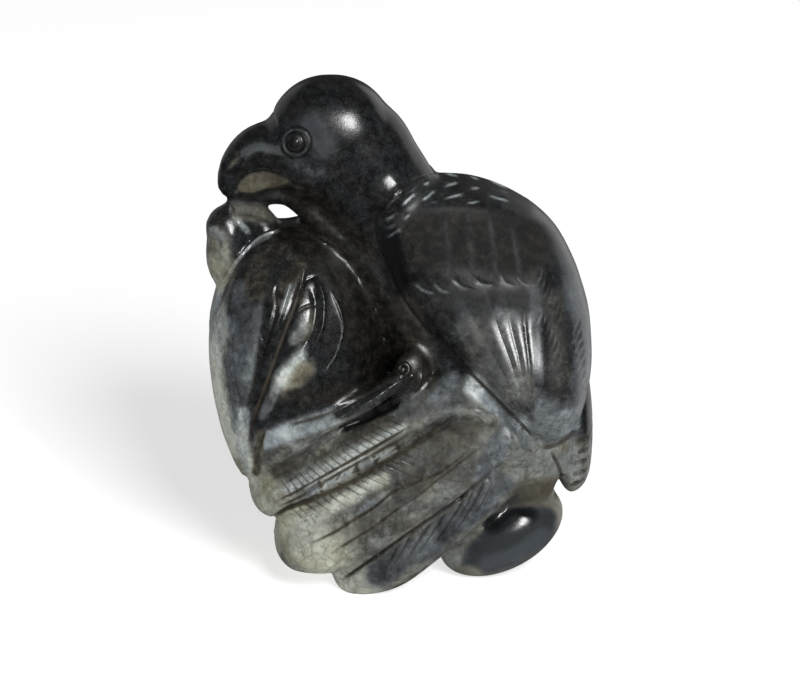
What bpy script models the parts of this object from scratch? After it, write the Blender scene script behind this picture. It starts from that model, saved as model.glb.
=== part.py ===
"""A jade carving of a parrot curled round a leafy peach, cut from one pebble.

The bird stands upright with its plane of symmetry on the XZ plane: its beak points to -X, its
back is at +X, and its near wing faces -Y. The underside is ground flat on the floor, z = 0.
"""
import math

import bmesh
import bpy
import numpy as np
from mathutils import Matrix

# The whole figure is drawn on a grid of parts, so that one part is 1 mm at the real height.
HEIGHT = 0.0653
PARTS_HIGH = 65.3
PART = HEIGHT / PARTS_HIGH

NODE = "parrot_carving"

# How finely the forms are fused and the relief is cut, and the facets that are kept.
BLOCK_GRAIN = 0.5 * PART
BLOCK_PASSES = 9
RELIEF_GRAIN = 0.25 * PART
FACETS = 9600

# The stone from a step away: black jade, waxy from hand polishing.
JADE_COLOUR = (0.060, 0.064, 0.060)
JADE_ROUGHNESS = 0.30


def spline(rows, steps):
    """Rows read from a smooth curve through the given rows, with that many steps between each two."""
    rows = np.asarray(rows, float)
    ends = np.vstack([2 * rows[0] - rows[1], rows, 2 * rows[-1] - rows[-2]])
    share = np.arange(steps)[:, None] / steps
    read = []
    for before, here, there, after in zip(ends, ends[1:], ends[2:], ends[3:]):
        read.append(
            0.5 * (2 * here + (there - before) * share
                   + (2 * before - 5 * here + 4 * there - after) * share ** 2
                   + (3 * here - before - 3 * there + after) * share ** 3))
    return np.vstack(read + [rows[-1:]])


def tube(stations, level=False, fullness=2.0, steps=6, sides=44):
    """A closed form along a curve. A station is x, y, z, then the section's radius in the XZ plane
    and its radius in depth. A level form has level sections; others are square to their curve.
    A fullness above 2 swells the sections from ellipses towards boxes.
    """
    stations = np.array(stations, float)
    stations[:, 3:5] **= 2  # squares, so that a form closes to a round end and not to a point
    rows = spline(stations, steps)
    centre = rows[:, :3]
    radii = np.sqrt(np.maximum(rows[:, 3:5], 0.01))
    depth = np.tile([0.0, 1.0, 0.0], (len(rows), 1))
    side = np.tile([1.0, 0.0, 0.0], (len(rows), 1))
    if not level:
        along = np.gradient(centre, axis=0)
        along /= np.linalg.norm(along, axis=1)[:, None]
        depth = depth - along * along[:, 1:2]
        depth /= np.linalg.norm(depth, axis=1)[:, None]
        side = np.cross(depth, along)
    angle = np.linspace(0, 2 * math.pi, sides, endpoint=False)
    across = np.sign(np.cos(angle)) * np.abs(np.cos(angle)) ** (2 / fullness)
    back = np.sign(np.sin(angle)) * np.abs(np.sin(angle)) ** (2 / fullness)
    ring = (centre[:, None] + side[:, None] * radii[:, None, :1] * across[None, :, None]
            + depth[:, None] * radii[:, None, 1:] * back[None, :, None])
    count = len(rows)
    points = np.vstack([ring.reshape(-1, 3), centre[:1], centre[-1:]])
    faces = []
    for i in range(count - 1):
        for j in range(sides):
            k = (j + 1) % sides
            faces.append((i * sides + j, i * sides + k, (i + 1) * sides + k, (i + 1) * sides + j))
    for j in range(sides):
        k = (j + 1) % sides
        faces.append((count * sides, k, j))
        faces.append((count * sides + 1, (count - 1) * sides + j, (count - 1) * sides + k))
    return points, faces


def pebble(centre, radii, tilt=0.0):
    """An egg-shaped form: its long radius, its short radius and its depth, tilted in the XZ plane."""
    angle = math.radians(tilt)
    reach = np.array([math.cos(angle), 0.0, math.sin(angle)]) * radii[0]
    stations = []
    for share in np.cos(np.linspace(math.pi, 0, 9)):
        swell = math.sqrt(max(1 - share * share, 0.0))
        stations.append((*(np.array(centre) + reach * share), radii[1] * swell, radii[2] * swell))
    return tube(stations, steps=4)


def both(form):
    """A form of the near side, and its mirror image on the far side."""
    points, faces = form
    return [form, (points * [1, -1, 1], [face[::-1] for face in faces])]


def head():
    crown = tube([(-8.5, 0, 65.4, 0, 0), (-8.5, 0, 64.7, 3.2, 2.7), (-8.5, 0, 63.2, 5.4, 4.7),
                  (-8.5, 0, 61.1, 7.0, 6.0), (-8.5, 0, 58.5, 7.8, 6.8), (-8.5, 0, 55.8, 7.8, 6.8),
                  (-8.5, 0, 53.3, 6.9, 6.0), (-8.5, 0, 51.1, 5.1, 4.4), (-8.5, 0, 49.4, 0, 0)],
                 level=True, fullness=2.6)
    neck = tube([(-9.0, 0, 57.0, 6.0, 5.4), (-6.2, 0, 55.8, 7.4, 6.9), (-3.8, 0, 52.3, 7.2, 6.9),
                 (-0.6, 0, 47.3, 7.2, 6.8), (2.4, 0, 41.0, 8.0, 7.4), (5.5, 0, 33.0, 8.5, 8.4),
                 (8.5, 0, 25.0, 7.0, 9.4)])
    throat = tube([(-14.2, 0, 50.4, 1.2, 2.4), (-11.6, 0, 48.6, 1.5, 3.1), (-8.6, 0, 46.3, 2.0, 4.4),
                   (-5.6, 0, 43.8, 2.6, 5.4), (-2.0, 0, 40.0, 3.6, 6.6), (2.0, 0, 32.0, 3.6, 6.4)])
    return [crown, neck, throat]


def beak():
    upper = tube([(-12.3, 0, 56.7, 3.7, 4.4), (-15.1, 0, 56.5, 3.35, 4.0), (-17.9, 0, 56.0, 2.75, 3.3),
                  (-20.1, 0, 54.2, 2.1, 2.5), (-21.4, 0, 52.1, 1.3, 1.7), (-21.9, 0, 50.7, 0.7, 1.0),
                  (-22.0, 0, 49.9, 0, 0)])
    lower = tube([(-10.0, 0, 51.0, 2.0, 3.6), (-12.8, 0, 50.4, 1.3, 3.0), (-15.8, 0, 50.2, 1.2, 2.6),
                  (-18.6, 0, 49.6, 0.9, 1.9), (-20.8, 0, 49.0, 0.6, 1.1)])
    mouth = tube([(-11.0, 0, 53.2, 2.4, 2.6), (-15.0, 0, 52.4, 2.2, 1.9), (-18.5, 0, 51.4, 1.6, 1.2),
                  (-20.6, 0, 50.6, 1.2, 0.7)])
    return [upper, lower, mouth]


def body():
    """The bird's trunk with its folded wings, broad in the shoulder and deepest low down."""
    return [tube([(4.5, 0, 52.3, 0, 0), (4.9, 0, 51.6, 4.8, 3.8), (5.6, 0, 50.1, 8.1, 6.4),
                  (6.8, 0, 47.8, 10.4, 8.2), (8.3, 0, 45.0, 11.5, 9.2), (10.1, 0, 41.0, 11.7, 10.2),
                  (11.6, 0, 38.0, 11.2, 11.2), (13.2, 0, 35.0, 10.4, 12.7), (14.8, 0, 32.0, 9.1, 14.0),
                  (16.1, 0, 29.5, 7.9, 14.5), (17.6, 0, 26.0, 6.0, 14.0), (18.7, 0, 23.0, 4.0, 12.0),
                  (19.1, 0, 21.0, 2.4, 9.5), (19.1, 0, 19.8, 0, 0)], level=True, fullness=2.6)]


def peach():
    return [tube([(-12.2, 0, 46.6, 0, 0), (-12.5, 0, 45.7, 3.4, 3.4), (-12.7, 0, 44.2, 6.0, 6.1),
                  (-12.8, 0, 41.3, 8.6, 9.2), (-12.7, 0, 37.5, 10.2, 11.6), (-12.7, 0, 33.5, 11.0, 12.8),
                  (-12.7, 0, 29.5, 11.2, 13.2), (-13.0, 0, 25.0, 10.5, 12.8), (-14.0, 0, 20.8, 8.7, 11.4),
                  (-15.9, 0, 17.0, 5.6, 9.0), (-18.0, 0, 13.0, 0, 0)], level=True, fullness=2.2)]


def tail():
    """Three broad feathers side by side, folded forward under the peach."""
    core = tube([(14.0, 0, 25.0, 6.0, 9.0), (6.0, 0, 18.8, 7.6, 11.0), (-1.0, 0, 13.8, 8.0, 11.4),
                 (-7.0, 0, 10.4, 7.6, 11.0), (-11.6, 0, 8.8, 5.6, 9.6), (-15.2, 0, 8.6, 3.0, 7.0)],
                fullness=2.8)
    first = tube([(15.0, 0, 30.0, 3.0, 8.0), (10.0, 0, 27.9, 4.6, 10.8), (4.0, 0, 25.0, 4.6, 12.0),
                  (-2.6, 0, 20.9, 4.3, 12.5), (-10.1, 0, 16.0, 4.4, 12.2), (-15.0, 0, 13.0, 3.7, 11.0),
                  (-17.5, 0, 11.8, 2.4, 8.8), (-18.9, 0, 11.2, 0, 0)], fullness=2.6)
    second = tube([(18.0, 0, 25.5, 4.0, 8.0), (13.5, 0, 22.8, 5.0, 10.4), (8.0, 0, 18.9, 5.4, 11.7),
                   (2.4, 0, 14.7, 5.6, 12.2), (-3.0, 0, 10.8, 5.7, 12.2), (-8.7, 0, 7.1, 5.2, 11.8),
                   (-12.5, 0, 5.5, 3.9, 10.4), (-14.8, 0, 5.1, 2.3, 8.0), (-16.0, 0, 5.0, 0, 0)],
                  fullness=2.6)
    third = tube([(19.0, 0, 20.6, 3.0, 7.0), (12.6, 0, 15.2, 3.9, 9.8), (7.2, 0, 10.8, 4.1, 10.8),
                  (2.2, 0, 6.5, 4.1, 11.2), (-1.5, 0, 3.6, 4.0, 11.2), (-5.2, 0, 1.8, 3.2, 10.0),
                  (-7.6, 0, 1.1, 2.0, 8.0), (-8.8, 0, 0.8, 0, 0)], fullness=2.4)
    rump = [pebble((9.6, 0, 26.4), (8.4, 5.2, 12.2), -40.0),
            pebble((13.4, 0, 21.0), (6.4, 6.0, 11.6), -40.0)]
    return [core, first, second, third, *rump]


def crossing_leaf():
    """The slim leaf that lies between the peach and the tail."""
    return both(tube([(1.2, -8.6, 31.2, 0.5, 1.0), (-0.4, -9.6, 29.3, 1.0, 2.0),
                      (-3.4, -10.6, 27.2, 1.2, 2.4), (-7.8, -11.0, 25.1, 1.6, 2.6),
                      (-12.4, -10.8, 22.8, 2.3, 2.6), (-16.0, -9.4, 20.6, 2.9, 2.6),
                      (-17.4, -8.8, 19.0, 0.6, 0.6)]))


def knot():
    """The knot where that leaf leaves its twig, with the stub of the twig beside it."""
    return both(pebble((0.5, -8.9, 30.8), (1.2, 1.1, 1.5))) + both(
        tube([(0.9, -7.4, 32.2, 1.2, 1.6), (2.0, -7.8, 31.0, 1.5, 1.8), (2.0, -8.4, 29.2, 1.6, 1.8),
              (1.0, -9.0, 27.6, 1.4, 1.6), (-0.4, -9.4, 26.4, 0.8, 1.4)]))


def fruits():
    """The fruit at the foot of the wing, and the bud that hangs from the beak with its stalk."""
    return [pebble((12.8, -0.5, 5.6), (8.5, 5.0, 6.4), 28.0),
            pebble((-21.3, 0, 43.2), (5.3, 2.8, 3.6), 84.0),
            pebble((-22.0, 0, 46.2), (2.6, 2.0, 2.8), 60.0),
            tube([(-21.2, 0, 49.4, 0.9, 1.1), (-19.6, 0, 48.4, 1.5, 1.8), (-17.7, 0, 46.8, 2.0, 2.4),
                  (-16.4, 0, 44.8, 2.1, 2.6), (-15.9, 0, 42.4, 2.0, 2.4)])]


def stems():
    """The knotty stem under the wing's tip, and the curled leaf at the right."""
    return [tube([(17.0, 0, 24.0, 3.6, 10.5), (16.8, 0, 19.0, 4.2, 9.4), (16.4, 0, 14.0, 3.8, 7.2),
                  (15.5, 0, 9.0, 2.6, 5.0)]),
            tube([(19.6, 2.0, 25.0, 3.0, 6.0), (19.6, 2.0, 19.0, 2.8, 6.0), (19.4, 2.4, 13.5, 2.0, 4.6)]),
            tube([(21.8, 3.5, 25.2, 2.0, 3.4), (22.5, 3.5, 20.6, 1.8, 4.2), (22.4, 3.5, 16.2, 2.0, 4.6),
                  (22.0, 3.2, 12.2, 2.0, 3.8), (21.6, 3.0, 9.3, 0.4, 0.6)])]


def forms():
    return [*head(), *beak(), *body(), *peach(), *tail(), *crossing_leaf(), *knot(), *fruits(), *stems()]


# The relief is laid out on a drawing of the figure from the front and a little above. Its units
# are eighths of a part, to the right and downwards.
UNITS = 8.0
DRAWN_FROM = math.radians(20)
DRAWN_CENTRE = (401.0, 336.0)
LEVEL_OF_CENTRE = 31.4

# Lines of the drawing.
EYE = (298, 144.5)
MOUTH = [(239, 193), (244, 182), (253, 176), (267, 173), (283, 177), (294, 185), (283, 189), (267, 191),
         (253, 196), (239, 193)]
WING_FRONT = [(430, 177), (410, 187), (392, 200), (381, 214), (378, 230), (382, 250), (395, 280)]
WING_EDGE = [(403, 296), (425, 325), (450, 350), (475, 375), (500, 400), (520, 420), (530, 431)]
WING_BACK = [(543, 288), (539, 305), (537, 330), (537, 355), (536, 380), (534, 405), (531, 431)]
COVERT_ENDS = [(402, 298), (420, 301), (438, 298), (456, 293), (476, 290), (498, 288), (520, 288),
               (544, 286)]
COVERT_CUTS = [
    [(438, 232), (444, 252), (453, 278)], [(457, 228), (466, 256), (481, 280)],
    [(482, 218), (490, 254), (500, 277)], [(498, 212), (507, 245), (519, 274)],
    [(520, 215), (529, 246), (535, 270)],
]
COVERT_TIPS = [
    [(415, 285), (426, 292), (436, 295)], [(434, 283), (441, 291), (451, 294)],
    [(453, 280), (462, 288), (474, 291)], [(472, 277), (481, 285), (495, 287)],
    [(499, 275), (505, 284), (515, 288)], [(515, 276), (521, 284), (529, 287)],
]
PRIMARY_CUTS = (0.20, 0.37, 0.56, 0.69, 0.84)
SCALE_CUTS = [
    [(423, 188), (432, 184)], [(401, 209), (416, 195)], [(422, 204), (437, 192)], [(444, 189), (460, 184)],
    [(444, 202), (464, 195)], [(469, 191), (482, 190)], [(425, 207), (442, 204)], [(450, 204), (461, 206)],
    [(465, 206), (484, 203)], [(489, 198), (510, 203)], [(405, 223), (412, 215)], [(387, 240), (405, 227)],
]
LEAF = [(300, 230), (280, 232), (262, 240), (247, 256), (238, 275), (232, 295), (229, 318), (230, 342),
        (233, 367), (237, 397), (240, 427), (242, 455), (243, 480), (250, 455), (258, 434), (270, 419),
        (286, 407), (302, 397), (316, 386), (327, 374), (336, 361), (343, 343), (346, 322), (344, 303),
        (337, 285), (328, 265), (316, 243), (300, 230)]
LEAF_RIM = [(211, 328), (219, 301), (229, 278), (245, 255), (262, 239), (282, 231), (305, 231), (338, 247)]
KNOT = (405, 369)
FIRST_TOP = [(414, 423), (400, 432), (376, 446), (353, 459.3), (329, 473), (306, 486.5), (277, 501)]
FIRST_LOW = [(414, 430), (398.6, 440.7), (373, 453.6), (350, 466.4), (321.4, 485), (307, 493.6), (280, 506)]
FIRST_EDGE = [(456, 415), (446, 423), (425, 438), (397, 455), (375, 468), (353, 481), (331, 491),
              (309, 500), (290, 507), (272, 518)]
SECOND_TOP = [(467, 452), (448.6, 466.4), (435, 475), (415, 482), (394, 491), (377, 505), (368.6, 510.7),
              (350, 522), (335.7, 531.4), (310, 543.6)]
SECOND_LOW = [(488, 442), (474, 452), (457, 465), (436, 481), (417, 496), (400, 507), (378.6, 523.6),
              (354, 539), (331, 553.6)]
SECOND_EDGE = [(503, 460), (482, 479), (460, 498), (440, 512), (415, 529), (390, 547), (362, 567),
               (342, 581)]


def between(first, second, share):
    """The line that share of the way from one drawn line to another."""
    return (1 - share) * np.array(first, float) + share * np.array(second, float)


class Relief:
    """How far each point of a polished skin is raised or cut back, in parts."""

    def __init__(self, points, normals):
        x, y, z = points.T / PART
        tilt = np.array([math.cos(DRAWN_FROM), math.sin(DRAWN_FROM)])
        self.u = DRAWN_CENTRE[0] + UNITS * x
        self.v = DRAWN_CENTRE[1] - UNITS * ((z - LEVEL_OF_CENTRE) * tilt[0] - np.abs(y) * tilt[1])
        faced = normals[:, 2] * tilt[1] + np.abs(normals[:, 1]) * np.sign(normals[:, 1] * y) * tilt[0]
        self.shown = np.clip((faced + 0.25) / 0.35, 0, 1)
        self.height = np.zeros(len(points))

    def along(self, line, reach, among=None):
        """The points close to a drawn line: which they are, how far to its right, how far along."""
        line = spline(line, 5)
        low = line.min(axis=0) - reach
        high = line.max(axis=0) + reach
        if among is None:
            among = np.flatnonzero((self.u > low[0]) & (self.u < high[0])
                                   & (self.v > low[1]) & (self.v < high[1]))
        u, v = self.u[among], self.v[among]
        best = np.full(len(among), 1e9)
        side = np.zeros(len(among))
        run = np.zeros(len(among))
        start = 0.0
        for (u0, v0), (u1, v1) in zip(line, line[1:]):
            length = math.hypot(u1 - u0, v1 - v0)
            du, dv = (u1 - u0) / length, (v1 - v0) / length
            on = (u - u0) * du + (v - v0) * dv
            off = (v - v0) * du - (u - u0) * dv
            far = np.maximum(np.maximum(-on, on - length), 0)
            away = np.hypot(off, far)
            closer = away < best
            best = np.where(closer, away, best)
            side = np.where(closer, np.where(off < 0, -away, away), side)
            run = np.where(closer, start + np.clip(on, 0, length), run)
            start += length
        close = best < reach
        return among[close], side[close], run[close], start

    def inside(self, outline):
        """Which points lie within a closed outline."""
        within = np.zeros(len(self.u), bool)
        line = spline(outline, 5)
        for (u0, v0), (u1, v1) in zip(line, line[1:]):
            if v0 != v1:
                crossed = (self.v < v0) != (self.v < v1)
                within ^= crossed & (self.u < u0 + (self.v - v0) * (u1 - u0) / (v1 - v0))
        return within

    def add(self, found, amount):
        self.height[found] += amount * self.shown[found]

    def groove(self, line, depth, width, taper=8.0):
        """A cut with a round bottom; it runs out at both ends. A negative depth raises a ridge."""
        found, side, run, length = self.along(line, 3 * width)
        ends = np.clip(np.minimum(run, length - run) / taper + 0.15, 0, 1) if taper else 1.0
        self.add(found, -depth * ends * np.exp(-(side / width) ** 2))

    def step(self, line, rise, drop, fade, taper=10.0):
        """An edge: the surface is raised up to the line and cut back beyond it, to its right."""
        found, side, run, length = self.along(line, 4 * fade)
        ends = np.clip(np.minimum(run, length - run) / taper + 0.1, 0, 1)
        blend = np.clip(0.5 - side / 2.4, 0, 1)
        bump = rise * np.exp(np.minimum(side, 0) / fade) * blend
        cut = drop * np.exp(-np.maximum(side, 0) / fade) * (1 - blend)
        self.add(found, (bump - cut) * ends)

    def barbs(self, line, reach, lean, pitch, depth, start=0.0):
        """A row of slanting cuts to the right of a shaft."""
        found, side, run, length = self.along(line, reach)
        across = np.sin(math.pi * np.clip(side / reach, 0, 1))
        among = np.clip((run / length - start) * 12, 0, 1) * np.clip((1 - run / length) * 12, 0, 1)
        wave = 0.5 + 0.5 * np.cos(2 * math.pi * (run + lean * side) / pitch)
        self.add(found, -depth * across * among * wave ** 2)

    def fan(self, outline, first, second, cuts, bulge):
        """Rounded feathers side by side between two lines; the cuts are shares of the way between."""
        among = np.flatnonzero(self.inside(outline))
        _, left, _, _ = self.along(first, 1e6, among)
        _, right, _, _ = self.along(second, 1e6, among)
        gap = np.abs(left) + np.abs(right)
        share = np.abs(left) / gap
        edges = np.array([0.0, *cuts, 1.0])
        which = np.clip(np.searchsorted(edges, share) - 1, 0, len(edges) - 2)
        width = edges[which + 1] - edges[which]
        place = 2 * (share - edges[which]) / width - 1
        _, edge, _, _ = self.along(outline, 1e6, among)
        fade = np.clip(np.abs(edge) / 10, 0, 1) * np.clip(gap / 45, 0.15, 1)
        self.add(among, bulge * width * len(cuts) * (0.6 - place ** 2) * fade)

    def oval(self, centre, radii, tilt, ring, width, middle=0.0):
        """A cut ring with a raised or sunk middle."""
        angle = math.radians(tilt)
        du, dv = self.u - centre[0], self.v - centre[1]
        across = (du * math.cos(angle) - dv * math.sin(angle)) / radii[0]
        up = (du * math.sin(angle) + dv * math.cos(angle)) / radii[1]
        out = np.hypot(across, up)
        edge = (out - 1) * min(radii) / width
        found = np.flatnonzero(out < 1 + 4 * width / min(radii))
        amount = -ring * np.exp(-edge ** 2) + middle * np.sqrt(np.clip(1 - out ** 2, 0, 1))
        self.add(found, amount[found])

    def plateau(self, outline, rise, soft):
        """Everything inside a closed outline, raised."""
        found, side, _, _ = self.along(outline, 4 * soft)
        away = np.full(len(self.u), 4.0 * soft)
        away[found] = np.abs(side)
        away = np.where(self.inside(outline), away, -away)
        self.height += rise * self.shown * np.clip(away / soft + 0.5, 0, 1)


def carve_head(relief):
    relief.oval(EYE, (15.0, 14.6), 0, 0.34, 2.2)
    relief.oval(EYE, (10.2, 10.0), 0, 0.36, 2.0, 0.60)
    relief.oval((237.5, 164.5), (11.5, 5.2), 40, 0.26, 1.8, -0.14)
    relief.groove([(272, 112), (276, 121), (281, 131)], 0.24, 2.6)
    relief.groove([(246, 161), (256, 154), (270, 151), (285, 153), (299, 159)], -0.18, 3.4, 14.0)
    relief.step([(240, 187), (245, 174), (255, 164), (268, 160), (285, 160), (303, 166)], 0.08, 0.38, 6.0)
    relief.plateau(MOUTH, -0.65, 2.6)
    relief.groove([(240, 195), (256, 196), (275, 193), (296, 187)], -0.28, 2.2)


def carve_wing(relief):
    relief.step([(444, 173), *WING_FRONT, *WING_EDGE, (536, 437)], 0.05, 0.85, 9.0, 14.0)
    relief.groove([(484, 394), (502, 412), (519, 430)], 0.38, 3.6)
    for cut in SCALE_CUTS:
        relief.groove(cut, 0.30, 2.4, 5.0)
    for cut in COVERT_CUTS:
        relief.groove(cut, 0.22, 3.4, 14.0)
    for tip in COVERT_TIPS:
        relief.groove(tip, 0.32, 2.4, 5.0)
    fan = [*COVERT_ENDS, *WING_BACK, *WING_EDGE[::-1], COVERT_ENDS[0]]
    relief.fan(fan, WING_EDGE, WING_BACK, PRIMARY_CUTS, 0.85)
    relief.groove([(552, 250), (551, 300), (551, 340), (552, 380), (552, 412)], 0.12, 7.0, 30.0)


def carve_peach(relief):
    relief.plateau(LEAF, 0.22, 5.0)
    relief.groove(LEAF_RIM, -0.22, 2.0)
    relief.groove([(219, 316), (234, 276), (253, 249), (276, 236)], 0.24, 2.4)
    relief.groove([(243, 312), (236, 342), (237, 364), (240, 385), (250, 427)], 0.18, 2.2)
    relief.groove([(308, 270), (299.5, 302), (287.5, 334), (277, 363), (267, 390), (257, 417), (252, 440)],
                  0.52, 2.6, 20.0)
    relief.groove([(300, 275), (293, 288), (285, 313), (277, 338), (268, 366), (258, 396), (250, 422)],
                  -0.34, 3.0, 16.0)
    relief.groove([(282, 302), (275, 330), (265, 356), (255, 388), (250, 410)], 0.26, 2.6, 14.0)
    for vein in ([(319, 277), (306, 284), (297, 300)], [(320, 305), (306, 309), (293, 320)],
                 [(305, 343), (293, 347), (283, 356)], [(284, 284), (279, 292), (280, 306)]):
        relief.groove(vein, 0.20, 2.2)
    relief.groove([(318, 280), (325, 298), (325.5, 316), (323.4, 330), (314, 350), (304, 364)],
                  -0.36, 2.2, 12.0)
    relief.groove([(313, 288), (318, 302), (317.5, 318), (314, 333), (305, 350)], 0.32, 3.4, 12.0)
    relief.groove([(333, 292), (342, 314), (344.6, 334), (335.3, 361), (317, 382)], -0.24, 2.2, 14.0)


def carve_leaves(relief):
    relief.groove([(391, 381), (365, 395), (341, 408), (319, 416.6), (290, 424.5)], 0.42, 2.4)
    relief.groove([(403, 379), (388, 389), (374, 399), (343, 416), (318, 426)], -0.20, 2.2)
    relief.groove([(405, 397), (388, 406), (365, 418), (344, 427), (318, 437), (288, 446)], 0.52, 3.2)
    relief.groove([(267, 426), (261, 440), (257, 454), (257, 470)], 0.60, 3.4)
    relief.oval(KNOT, (4.2, 4.4), 0, 0.10, 2.0, -0.50)
    relief.oval(KNOT, (8.4, 8.6), 0, 0.18, 2.0)
    relief.groove([(424, 371), (419, 385), (408, 398)], -0.20, 2.0)
    relief.groove([(236, 217), (248, 216), (262, 219), (276, 222)], 0.28, 2.2)
    relief.groove([(241, 205), (254, 203), (268, 206)], 0.24, 2.2)
    relief.groove([(234, 205), (236, 213), (241, 222)], 0.30, 2.2)
    relief.groove([(209, 229), (216, 234), (222, 242), (226, 252)], 0.24, 2.2)
    relief.groove([(541, 448), (560, 443), (580, 430)], 0.50, 2.6)
    relief.groove([(551, 450), (562, 470), (565, 486)], 0.38, 2.4)
    for at in ((594, 438), (594, 449), (591, 461), (589, 472), (586, 483)):
        relief.groove([at, (at[0] - 12, at[1] + 4)], 0.45, 2.2, 0)


def carve_tail(relief):
    relief.step(FIRST_EDGE[::-1], 0.14, 0.34, 6.0)
    relief.groove(FIRST_EDGE, 0.40, 2.6, 12.0)
    relief.step(SECOND_EDGE[::-1], 0.18, 0.46, 7.0)
    relief.groove(SECOND_EDGE, 0.30, 2.4, 12.0)
    for line in (FIRST_TOP, FIRST_LOW, SECOND_TOP, SECOND_LOW):
        relief.groove(line, 0.28, 2.2, 14.0)
    relief.barbs(FIRST_TOP, 32, -0.8, 16.0, 0.34)
    relief.barbs(SECOND_TOP, 32, -0.7, 16.0, 0.34, 0.18)
    relief.groove([(476, 411), (495, 419)], 0.32, 2.2)
    relief.groove([(470, 417), (482, 424)], 0.24, 2.2)


def carve(points, normals):
    relief = Relief(points, normals)
    for cut in (carve_head, carve_wing, carve_peach, carve_leaves, carve_tail):
        cut(relief)
    return relief


def mesh_of(name, shapes):
    """One mesh that holds all the closed forms, still overlapping."""
    points = []
    faces = []
    for shape_points, shape_faces in shapes:
        shift = sum(len(p) for p in points)
        points.append(shape_points * PART)
        faces += [tuple(shift + i for i in face) for face in shape_faces]
    mesh = bpy.data.meshes.new(name)
    mesh.from_pydata(np.vstack(points).tolist(), [], faces)
    return mesh


def settled(obj):
    """Replaces the object's mesh with what its modifiers make of it."""
    bpy.context.view_layer.update()
    graph = bpy.context.evaluated_depsgraph_get()
    mesh = bpy.data.meshes.new_from_object(obj.evaluated_get(graph))
    obj.modifiers.clear()
    obj.data = mesh
    return mesh


def fuse(obj, grain, passes):
    """One skin round everything in the object, polished."""
    skin = obj.modifiers.new("fuse", "REMESH")
    skin.mode = "VOXEL"
    skin.voxel_size = grain
    skin.use_smooth_shade = True
    polish = obj.modifiers.new("polish", "SMOOTH")
    polish.factor = 0.5
    polish.iterations = passes
    settled(obj)


def refine(obj):
    """Halves the skin's facets and rounds them."""
    finer = obj.modifiers.new("finer", "SUBSURF")
    finer.levels = 1
    settled(obj)


def read(items, name, width=3):
    values = np.empty(len(items) * width, np.float32)
    items.foreach_get(name, values)
    return values.reshape(-1, width).astype(float)


def cut_relief(obj):
    mesh = obj.data
    points = read(mesh.vertices, "co")
    normals = read(mesh.vertex_normals, "vector")
    relief = carve(points, normals)
    points += normals * relief.height[:, None] * PART
    mesh.vertices.foreach_set("co", points.astype(np.float32).ravel())
    mesh.update()


def thin_out(obj, facets):
    """Keeps about so many triangles, most of them where the surface turns."""
    obj.data.transform(Matrix.Scale(1 / PART, 4))  # the modifier weighs facets best at this scale
    fewer = obj.modifiers.new("facets", "DECIMATE")
    fewer.ratio = facets / (2 * len(obj.data.polygons))
    settled(obj)
    obj.data.transform(Matrix.Scale(PART, 4))


def grind_base(obj):
    """Cuts the underside flat at z = 0 and puts the origin at the middle of the bounds."""
    shape = bmesh.new()
    shape.from_mesh(obj.data)
    bmesh.ops.bisect_plane(shape, geom=shape.verts[:] + shape.edges[:] + shape.faces[:], dist=0.00002,
                           plane_co=(0, 0, 0), plane_no=(0, 0, 1), clear_inner=True)
    bmesh.ops.holes_fill(shape, edges=[e for e in shape.edges if e.is_boundary], sides=0)
    bmesh.ops.triangulate(shape, faces=[f for f in shape.faces if len(f.verts) > 4])
    places = np.array([v.co for v in shape.verts])
    middle = (places.min(axis=0) + places.max(axis=0)) / 2
    bmesh.ops.translate(shape, verts=shape.verts[:], vec=(-middle[0], -middle[1], 0))
    shape.to_mesh(obj.data)
    shape.free()


def polished_jade():
    """Black nephrite jade with a paler skin, polished by hand to a waxy gloss."""
    material = bpy.data.materials.new("jade")
    material.use_nodes = True
    surface = material.node_tree.nodes["Principled BSDF"]
    surface.inputs["Base Color"].default_value = (*JADE_COLOUR, 1)
    surface.inputs["Roughness"].default_value = JADE_ROUGHNESS
    surface.inputs["Metallic"].default_value = 0.0
    return material


def main():
    for old in list(bpy.data.objects):
        bpy.data.objects.remove(old)
    carving = bpy.data.objects.new(NODE, mesh_of(NODE, forms()))
    bpy.context.collection.objects.link(carving)
    fuse(carving, BLOCK_GRAIN, BLOCK_PASSES)
    refine(carving)
    cut_relief(carving)
    fuse(carving, RELIEF_GRAIN, 1)
    thin_out(carving, FACETS)
    grind_base(carving)
    carving.data.materials.clear()
    carving.data.materials.append(polished_jade())


if __name__ == "__main__":
    main()
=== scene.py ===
"""The dressed scene of a carving: a parrot curled round a leafy peach, in black and celadon jade.

The carving's skin is made again here from the same forms as its solid, much finer, and carries the
relief, the polish and the stone's own colours, with some highlights, reflections and shade painted
into those colours. Sizes of forms are in parts, and one part is 1 mm.
"""
import math

import bmesh
import bpy
import numpy as np
from bpy.props import FloatProperty, FloatVectorProperty, IntProperty, PointerProperty
from mathutils import Matrix, Vector


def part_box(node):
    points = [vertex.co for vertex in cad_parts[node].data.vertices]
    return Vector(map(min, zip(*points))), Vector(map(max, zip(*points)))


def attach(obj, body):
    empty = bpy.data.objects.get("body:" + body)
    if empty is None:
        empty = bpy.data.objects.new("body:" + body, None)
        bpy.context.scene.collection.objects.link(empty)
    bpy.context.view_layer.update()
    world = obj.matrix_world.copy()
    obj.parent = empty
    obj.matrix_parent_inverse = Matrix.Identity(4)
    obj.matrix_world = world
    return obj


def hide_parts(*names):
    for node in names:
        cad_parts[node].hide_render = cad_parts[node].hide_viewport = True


bl_info = {
    "name": "Jade parrot carving",
    "version": (1, 0, 0),
    "blender": (4, 5, 0),
    "location": "3D View > Sidebar > Jade parrot",
    "description": "Builds a jade parrot carving and the studio it stands in",
    "category": "Add Mesh",
}

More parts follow.
